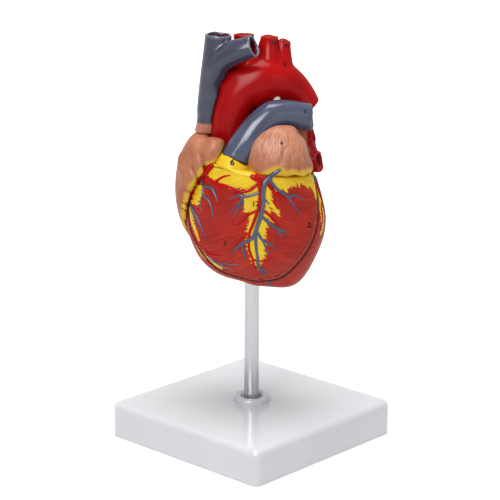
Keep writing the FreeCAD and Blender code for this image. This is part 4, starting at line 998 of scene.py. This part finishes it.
FRONT_ARTERIES = [
    [(250.5, 175.5, 1.1), (254, 177.4, 1.7), (259, 180.5, 1.6), (259.6, 187.6, 1.1), (260, 195.6, 1.0),
     (259.2, 206, 0.95), (256.6, 214, 0.9), (252.6, 225, 0.85), (249.3, 234, 0.8), (249, 248, 0.75),
     (252.4, 258.8, 0.7), (255.6, 270, 0.4)],
    [(256.8, 179.5, 1.3), (261, 180.8, 1.1), (264.5, 182, 0.7)],
    [(257.5, 184.5, 0.9), (250, 190.2, 0.85), (243, 191.6, 0.8), (234, 188.5, 0.7), (226, 185.4, 0.7),
     (214.4, 183, 0.8), (207.5, 178, 0.8)],
    [(240, 190.8, 0.6), (236, 193, 0.5), (231.5, 195, 0.2)],
    [(264.5, 182.8, 0.9), (268.7, 185.8, 0.85), (273.9, 191.5, 0.8), (282.5, 196.7, 0.6), (288, 203, 0.25)],
    [(273, 190.5, 0.7), (274.4, 198, 0.6), (274.6, 203.6, 0.5), (278, 209.5, 0.2)],
    [(275.5, 192.5, 0.5), (280.5, 200, 0.4), (284, 206, 0.2)],
    [(264, 210.8, 0.8), (268, 214, 0.8), (272.5, 219, 0.7), (279, 226, 0.3)],
    [(257.2, 210.5, 0.75), (248.6, 214.8, 0.7), (243, 220.5, 0.6), (236, 226, 0.25)],
    [(250.3, 232.5, 0.7), (243.5, 236.6, 0.65), (235, 245.8, 0.25)],
    [(252, 259.5, 0.6), (261, 261, 0.55), (270, 258.5, 0.4), (278, 254, 0.2)],
]
EDGE_ARTERIES = [
    [(213, 164, 2.0), (210, 167.6, 2.3), (205.2, 173, 2.2), (200, 179, 1.8), (196.2, 184, 1.5),
     (192.6, 193, 1.15), (189.6, 202, 1.0), (188.8, 211, 0.9), (190, 222, 0.8), (193.3, 233, 0.7),
     (198.4, 241.6, 0.6), (205, 249.5, 0.6), (214.6, 254.8, 0.5), (224.2, 254.8, 0.25)],
    [(206.8, 173.5, 0.8), (206.8, 179, 0.7), (207, 184, 0.3)],
    [(208, 177.2, 0.8), (211.5, 180.5, 0.85), (214.8, 182, 0.85), (219.5, 178.8, 0.7), (224.5, 176.3, 0.6),
     (230.6, 175.2, 0.25)],
    [(214, 181.6, 0.8), (218.5, 185.4, 0.8), (227.6, 186.4, 0.7), (236, 189.5, 0.5)],
    [(207, 187.5, 0.5), (206.5, 192, 0.6), (210, 199, 0.3)],
    [(199.5, 244.5, 0.6), (207, 254, 0.6), (218, 261.5, 0.55), (228, 267, 0.3)],
]
EDGE_VEINS = [
    [(199.6, 177.5, 0.9), (202.5, 181.5, 0.9), (203.9, 186, 0.85), (211.2, 187.9, 0.85), (214.8, 193.9, 0.75),
     (217.9, 202.5, 0.25)],
    [(203.9, 185, 0.8), (203.3, 194.5, 0.75), (208.8, 200.6, 0.75), (212.4, 209.7, 0.6), (212.9, 218, 0.2)],
    [(203.2, 193, 0.5), (201.4, 199, 0.5), (200.7, 206, 0.4), (202, 211.5, 0.15)],
    [(190.6, 203.5, 0.8), (195.5, 214.2, 0.75), (200.6, 225, 0.65), (206, 238, 0.2)],
    [(191, 208, 0.5), (194.5, 219, 0.45), (198.5, 230, 0.2)],
    [(200.5, 246, 0.5), (211.5, 259.6, 0.6), (218, 262.5, 0.6), (227, 264.3, 0.5), (238.9, 264.6, 0.2)],
    [(213, 260.6, 0.45), (222, 266.5, 0.45), (232, 269.5, 0.2)],
]
STUB_VEINS = [
    [(281, 169, 0.5), (278.6, 170.9, 0.9), (274.6, 173.4, 1.3), (271.6, 175.2, 1.4)],
]
LEFT_EDGE_VEINS = [
    [(312.5, 176, 1.5), (315.5, 179.5, 1.3), (318, 186, 0.8), (320.5, 194, 0.7), (323.2, 205, 0.6)],
    [(323.6, 206, 0.6), (324.8, 218, 0.7), (323.4, 229, 0.6), (319.5, 240, 0.3)],
    [(266.6, 281.2, 0.6), (268.6, 283.2, 0.8), (270.6, 285.1, 0.7), (272.2, 286.6, 0.4)],
]
LEFT_EDGE_ARTERIES = [
    [(313.5, 180.5, 0.9), (317.5, 189, 0.8), (321.3, 199, 0.7), (321.2, 208, 0.7), (322.6, 219, 0.5),
     (320.6, 230, 0.25)],
]
# Runs on the back: x, height above the heart's lowest point and radius.
BACK_ARTERIES = [
    [(-40, 52, 1.5), (-28, 52, 1.6), (-14, 56, 1.6), (-6, 52, 1.4), (-2, 38, 1.2), (2, 24, 1), (5, 12, 0.4)],
    [(-3, 44, 1), (6, 36, 0.9), (12, 28, 0.4)],
    [(-26, 52, 1), (-22, 42, 0.9), (-18, 31, 0.4)],
    [(-1, 36, 0.8), (-8, 29, 0.7), (-14, 24, 0.3)],
    [(20, 62, 1.2), (30, 66, 1.3), (38, 66, 1.2), (43, 62, 0.8)],
    [(30, 65, 1), (33, 54, 0.9), (35, 42, 0.4)],
]
BACK_VEINS = [
    [(-26, 58, 1.8), (-14, 60, 2.2), (4, 58, 2.8), (16, 61, 3), (28, 67, 2.4), (38, 72, 1.6)],
    [(3, 57, 2.2), (1, 50, 1.8), (0.8, 42, 1.5), (4.5, 28, 1.2), (8, 16, 0.5)],
    [(14, 59, 1.8), (22, 45, 1.3), (24, 30, 0.5)],
    [(1.5, 40, 1), (-6, 34, 0.8), (-12, 30, 0.3)],
    [(20, 48, 1), (13, 40, 0.8), (10, 33, 0.3)],
]


RELIEF_WIDTH = 1.12  # share by which the relief vessels are wider than their runs say
THINNEST = 0.32  # radius at a relief vessel's fine end
TUBE_HEIGHT, TUBE_LIFT = 0.85, 0.12  # shares of the radius: height of the tube, and how far out it lies
TUBE_SIDES = 10
EVENING_ROUNDS = 4  # how often a tube's line is evened out
RUN_STEP = 0.6  # between a smooth run's rows, in the run's own units
FAR_BEHIND = 200  # well behind the heart


def smooth_run(rows):
    """More rows on a smooth line through the given ones."""
    rows = np.asarray(rows, float)
    padded = np.vstack([2 * rows[0] - rows[1], rows, 2 * rows[-1] - rows[-2]])
    fine = []
    for a, b, c, d in zip(padded, padded[1:], padded[2:], padded[3:]):
        count = max(int(np.linalg.norm((c - b)[:2]) / RUN_STEP), 2)
        for t in np.linspace(0, 1, count, endpoint=False):
            fine.append(0.5 * (2 * b + (c - a) * t + (2 * a - 5 * b + 4 * c - d) * t ** 2
                               + (3 * b - 3 * c + d - a) * t ** 3))
    fine.append(rows[-1])
    return np.array(fine)


def from_view(across, down):
    return EYE, view_ray(across, down)


def from_back(x, height):
    return Vector((x, FAR_BEHIND, HEART_FLOOR + height)), Vector((0, -1, 0))


def laid_line(run, tree, look):
    """Where a run's rays meet the casting, the casting's facings there, and the tube's radii."""
    line, facing, radii = [], [], []
    for across, down, radius in smooth_run(run):
        spot, normal, _, _ = tree.ray_cast(*look(across, down))
        if spot is not None:
            line.append(spot)
            facing.append(normal)
            radii.append(max(radius * RELIEF_WIDTH, THINNEST))
    return np.array(line), np.array(facing), radii


def lay_tubes(name, runs, tree, look, body, material, nodes):
    """Relief vessels that lie on a casting where each run's rays first meet it."""
    points, faces = [], []
    for run in runs:
        line, facing, radii = laid_line(run, tree, look)
        for _ in range(EVENING_ROUNDS):
            for rows in (line, facing):
                rows[1:-1] = (rows[:-2] + 2 * rows[1:-1] + rows[2:]) / 4
        facing /= lengths(facing)[:, None]
        ways = np.gradient(line, axis=0)
        ways /= lengths(ways)[:, None]
        first, rings = len(points), len(line)
        for spot, normal, way, radius in zip(line, facing, ways, radii):
            side = np.cross(way, normal)
            side /= np.linalg.norm(side)
            for k in range(TUBE_SIDES):
                turn = 2 * math.pi * k / TUBE_SIDES
                points.append(spot + side * math.cos(turn) * radius
                              + normal * (math.sin(turn) * radius * TUBE_HEIGHT + radius * TUBE_LIFT))
        for ring in range(first, first + (rings - 1) * TUBE_SIDES, TUBE_SIDES):
            for k in range(TUBE_SIDES):
                a, b = ring + k, ring + (k + 1) % TUBE_SIDES
                faces.append((a, b, b + TUBE_SIDES, a + TUBE_SIDES))
        last = first + (rings - 1) * TUBE_SIDES
        faces.append(tuple(range(first, first + TUBE_SIDES))[::-1])
        faces.append(tuple(range(last, last + TUBE_SIDES)))
    mesh = bpy.data.meshes.new(name)
    mesh.from_pydata([tuple(point * MM) for point in points], [], faces)
    mesh.update()
    piece = new_piece(name, mesh, body, material)
    if nodes:
        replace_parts(piece, *nodes)


def make_coronary_vessels(skins):
    front, back = skins["ventricles_front"].tree(), skins["ventricles_back"].tree()
    auricle = ray_tree(bpy.data.objects["left_auricle_skin"].data)
    for name, runs, tree, look, body, material, nodes in (
            ("front_veins", FRONT_VEINS, front, from_view, "front_wall", VEIN, ["front_coronary_veins"]),
            ("front_arteries", FRONT_ARTERIES, front, from_view, "front_wall", ARTERY,
             ["front_coronary_arteries"]),
            ("edge_veins", EDGE_VEINS, front, from_view, "front_wall", VEIN, ["marginal_coronary_veins"]),
            ("edge_arteries", EDGE_ARTERIES, front, from_view, "front_wall", ARTERY,
             ["marginal_coronary_arteries"]),
            ("auricle_vein", STUB_VEINS, auricle, from_view, "heart", VEIN, []),
            ("left_edge_veins", LEFT_EDGE_VEINS, back, from_view, "heart", VEIN, []),
            ("left_edge_arteries", LEFT_EDGE_ARTERIES, back, from_view, "heart", ARTERY, []),
            ("back_veins", BACK_VEINS, back, from_back, "heart", VEIN, ["back_coronary_veins"]),
            ("back_arteries", BACK_ARTERIES, back, from_back, "heart", ARTERY, ["back_coronary_arteries"])):
        lay_tubes(name, runs, tree, look, body, material, nodes)


# ------------------------------------------------------------------ the small numbers
# Each number: text, view spot of its middle, height in view units, tilt in degrees, casting it is on, body.
NUMBERS = [
    ("6", (232.4, 162.4), 7.0, -14, "root_band", "heart"),
    ("17", (255.6, 204.2), 5.6, 0, "ventricles_front", "front_wall"),
    ("4", (281.6, 143.4), 4.0, 0, "left_auricle_skin", "heart"),
    ("3", (225, 243.4), 5.0, 0, "ventricles_front", "front_wall"),
    ("2", (309.3, 225.6), 5.4, 0, "ventricles_front", "front_wall"),
    ("7", (305, 112), 4.0, 0, "lung_artery", "heart"),
    ("8", (284.6, 64.8), 5.0, 0, "aortic_arch", "heart"),
    ("10", (274, 43), 4.2, 0, "aortic_arch", "heart"),
    ("9", (286, 46), 4.2, 0, "aortic_arch", "heart"),
]
FIGURE_SIZE = 1.35  # font size that makes a figure about one unit tall
FIGURE_WEIGHT = 0.025  # how much bolder than the font, as a share of its size
INK_LIFT = 0.12  # how far the ink stands off the casting


def number_mesh(text, spot, tall, tilt, tree):
    """The outline of a number, laid on a casting where the view rays through it meet it."""
    letter = bpy.data.curves.new(f"figure_{text}", "FONT")
    letter.body = text
    letter.align_x, letter.align_y = "CENTER", "CENTER"
    letter.resolution_u = 3
    letter.offset = FIGURE_WEIGHT
    flat = settled_mesh(new_object(letter.name, letter))
    bpy.data.curves.remove(letter)
    fine = bmesh.new()
    fine.from_mesh(flat)
    bmesh.ops.subdivide_edges(fine, edges=fine.edges, cuts=2)
    fine.to_mesh(flat)
    fine.free()
    turn = Matrix.Rotation(math.radians(tilt), 2)
    for vertex in flat.vertices:
        across, up = turn @ (vertex.co.xy * tall * FIGURE_SIZE)
        hit, normal, _, _ = tree.ray_cast(*from_view(spot[0] + across, spot[1] - up))
        vertex.co = (hit + normal * INK_LIFT) * MM
    flat.update()
    return flat


def make_numbers():
    for index, (text, spot, tall, tilt, casting, body) in enumerate(NUMBERS, 1):
        mesh = number_mesh(text, spot, tall, tilt, ray_tree(bpy.data.objects[casting].data))
        mesh.name = f"number_{index}"
        new_piece(mesh.name, mesh, body, INK)


# ------------------------------------------------------------------ solids kept as they are
KEPT = {
    "base_plate": MOULDING, "rod_collar": COLLAR, "base_feet": RUBBER, "support_rod": STEEL,
    "rod_screw": ZINC, "rod_washer": ZINC, "rod_socket": SOCKET, "back_magnets": NICKEL,
    "front_magnets": NICKEL, "mitral_valve": VALVE, "tricuspid_valve": VALVE,
    "aortic_valve": VALVE, "pulmonary_valve": VALVE, "chordae_tendineae": VALVE,
    "ligamentum_arteriosum": LIGAMENT, "left_papillary_muscles": PAPILLARY,
    "right_papillary_muscles": PAPILLARY,
}


def dress_kept_solids():
    for node, material in KEPT.items():
        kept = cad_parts[node]
        kept.data.materials.clear()
        kept.data.materials.append(material)


# ------------------------------------------------------------------ stage and light
FLOOR_HALF = 6.0  # metres
SHADOW_FROM, SHADOW_TO = 0.12, 0.6  # metres from the rod over which the floor turns plain white
SHADOW_GLOW = 0.42  # share of the floor's plain white glow that stays close to the base
WHITE, FLOOR_WHITE = (1, 1, 1, 1), (0.8, 0.8, 0.8, 1)
ROOM_GREY = (0.31, 0.31, 0.32, 1)  # what lights the model from all round
LAMPS_FACE = AIM * MM + Vector((0, 0, 0.05))  # 50 mm above what the camera looks at


def rays_that_show_it(tree):
    """1 for rays that show the background: from the camera, or by way of metal, lacquer or glass."""
    path = add(tree, "ShaderNodeLightPath").outputs
    bounced = sums(tree, "MAXIMUM", path["Is Glossy Ray"], path["Is Transmission Ray"])
    return sums(tree, "MAXIMUM", path["Is Camera Ray"], bounced)


def white_floor_finish():
    """Matt white that shows as plain white to the camera but for the shadow close to the base."""
    finish = Finish("white_floor").set({"Base Color": FLOOR_WHITE, "Roughness": 0.9, "Specular IOR Level": 0})
    tree = finish.tree
    away = add(tree, "ShaderNodeVectorMath", {0: own_place(tree)}, operation="LENGTH").outputs["Value"]
    share = remap(tree, away, SHADOW_FROM, SHADOW_TO, SHADOW_GLOW, 1.0)
    strength = sums(tree, "MULTIPLY", rays_that_show_it(tree), share)
    glow = add(tree, "ShaderNodeEmission", {"Color": WHITE, "Strength": strength})
    both = add(tree, "ShaderNodeAddShader", {0: finish.shader.outputs[0], 1: glow.outputs[0]})
    tree.links.new(both.outputs[0], tree.nodes["Material Output"].inputs["Surface"])
    return finish.material


def make_stage():
    mesh = bpy.data.meshes.new("floor")
    corners = [(x * FLOOR_HALF, y * FLOOR_HALF, 0) for x, y in ((-1, -1), (1, -1), (1, 1), (-1, 1))]
    mesh.from_pydata(corners, [], [(0, 1, 2, 3)])
    mesh.materials.append(white_floor_finish())
    new_object("floor", mesh)


def softbox(name, place, size, watts):
    """A flat lamp that faces the middle of the model; its place and size are in metres."""
    lamp = bpy.data.lights.new(name, "AREA")
    lamp.shape = "RECTANGLE"
    lamp.size, lamp.size_y = size
    lamp.energy = watts
    light = new_object(name, lamp)
    light.location = place
    light.rotation_euler = (LAMPS_FACE - Vector(place)).to_track_quat("-Z", "Y").to_euler()
    return light


def make_lights():
    world = bpy.data.worlds.new("studio")
    bpy.context.scene.world = world
    world.use_nodes = True
    tree = world.node_tree
    shade = blend_color(tree, rays_that_show_it(tree), ROOM_GREY, WHITE)
    tree.links.new(shade, tree.nodes["Background"].inputs["Color"])
    softbox("key", (-0.48, -1.1, 1.08), (0.8, 0.8), 9.5)
    softbox("sheen", (-0.46, -1.12, 0.98), (0.95, 1.25), 36).visible_diffuse = False
    softbox("side", (-1.25, -0.5, 0.5), (0.4, 0.7), 0.6).visible_glossy = False
    softbox("fill", (1.2, -1.1, 0.6), (0.9, 0.9), 2.8)
    softbox("top", (0, 0.05, 1.5), (0.7, 0.6), 13)


make_camera()
make_stage()
make_lights()
dress_kept_solids()
castings = make_ventricles()
make_atria()
make_vessels()
make_root_band()
make_coronary_vessels(castings)
make_numbers()

bpy.context.scene.view_settings.view_transform = "Standard"
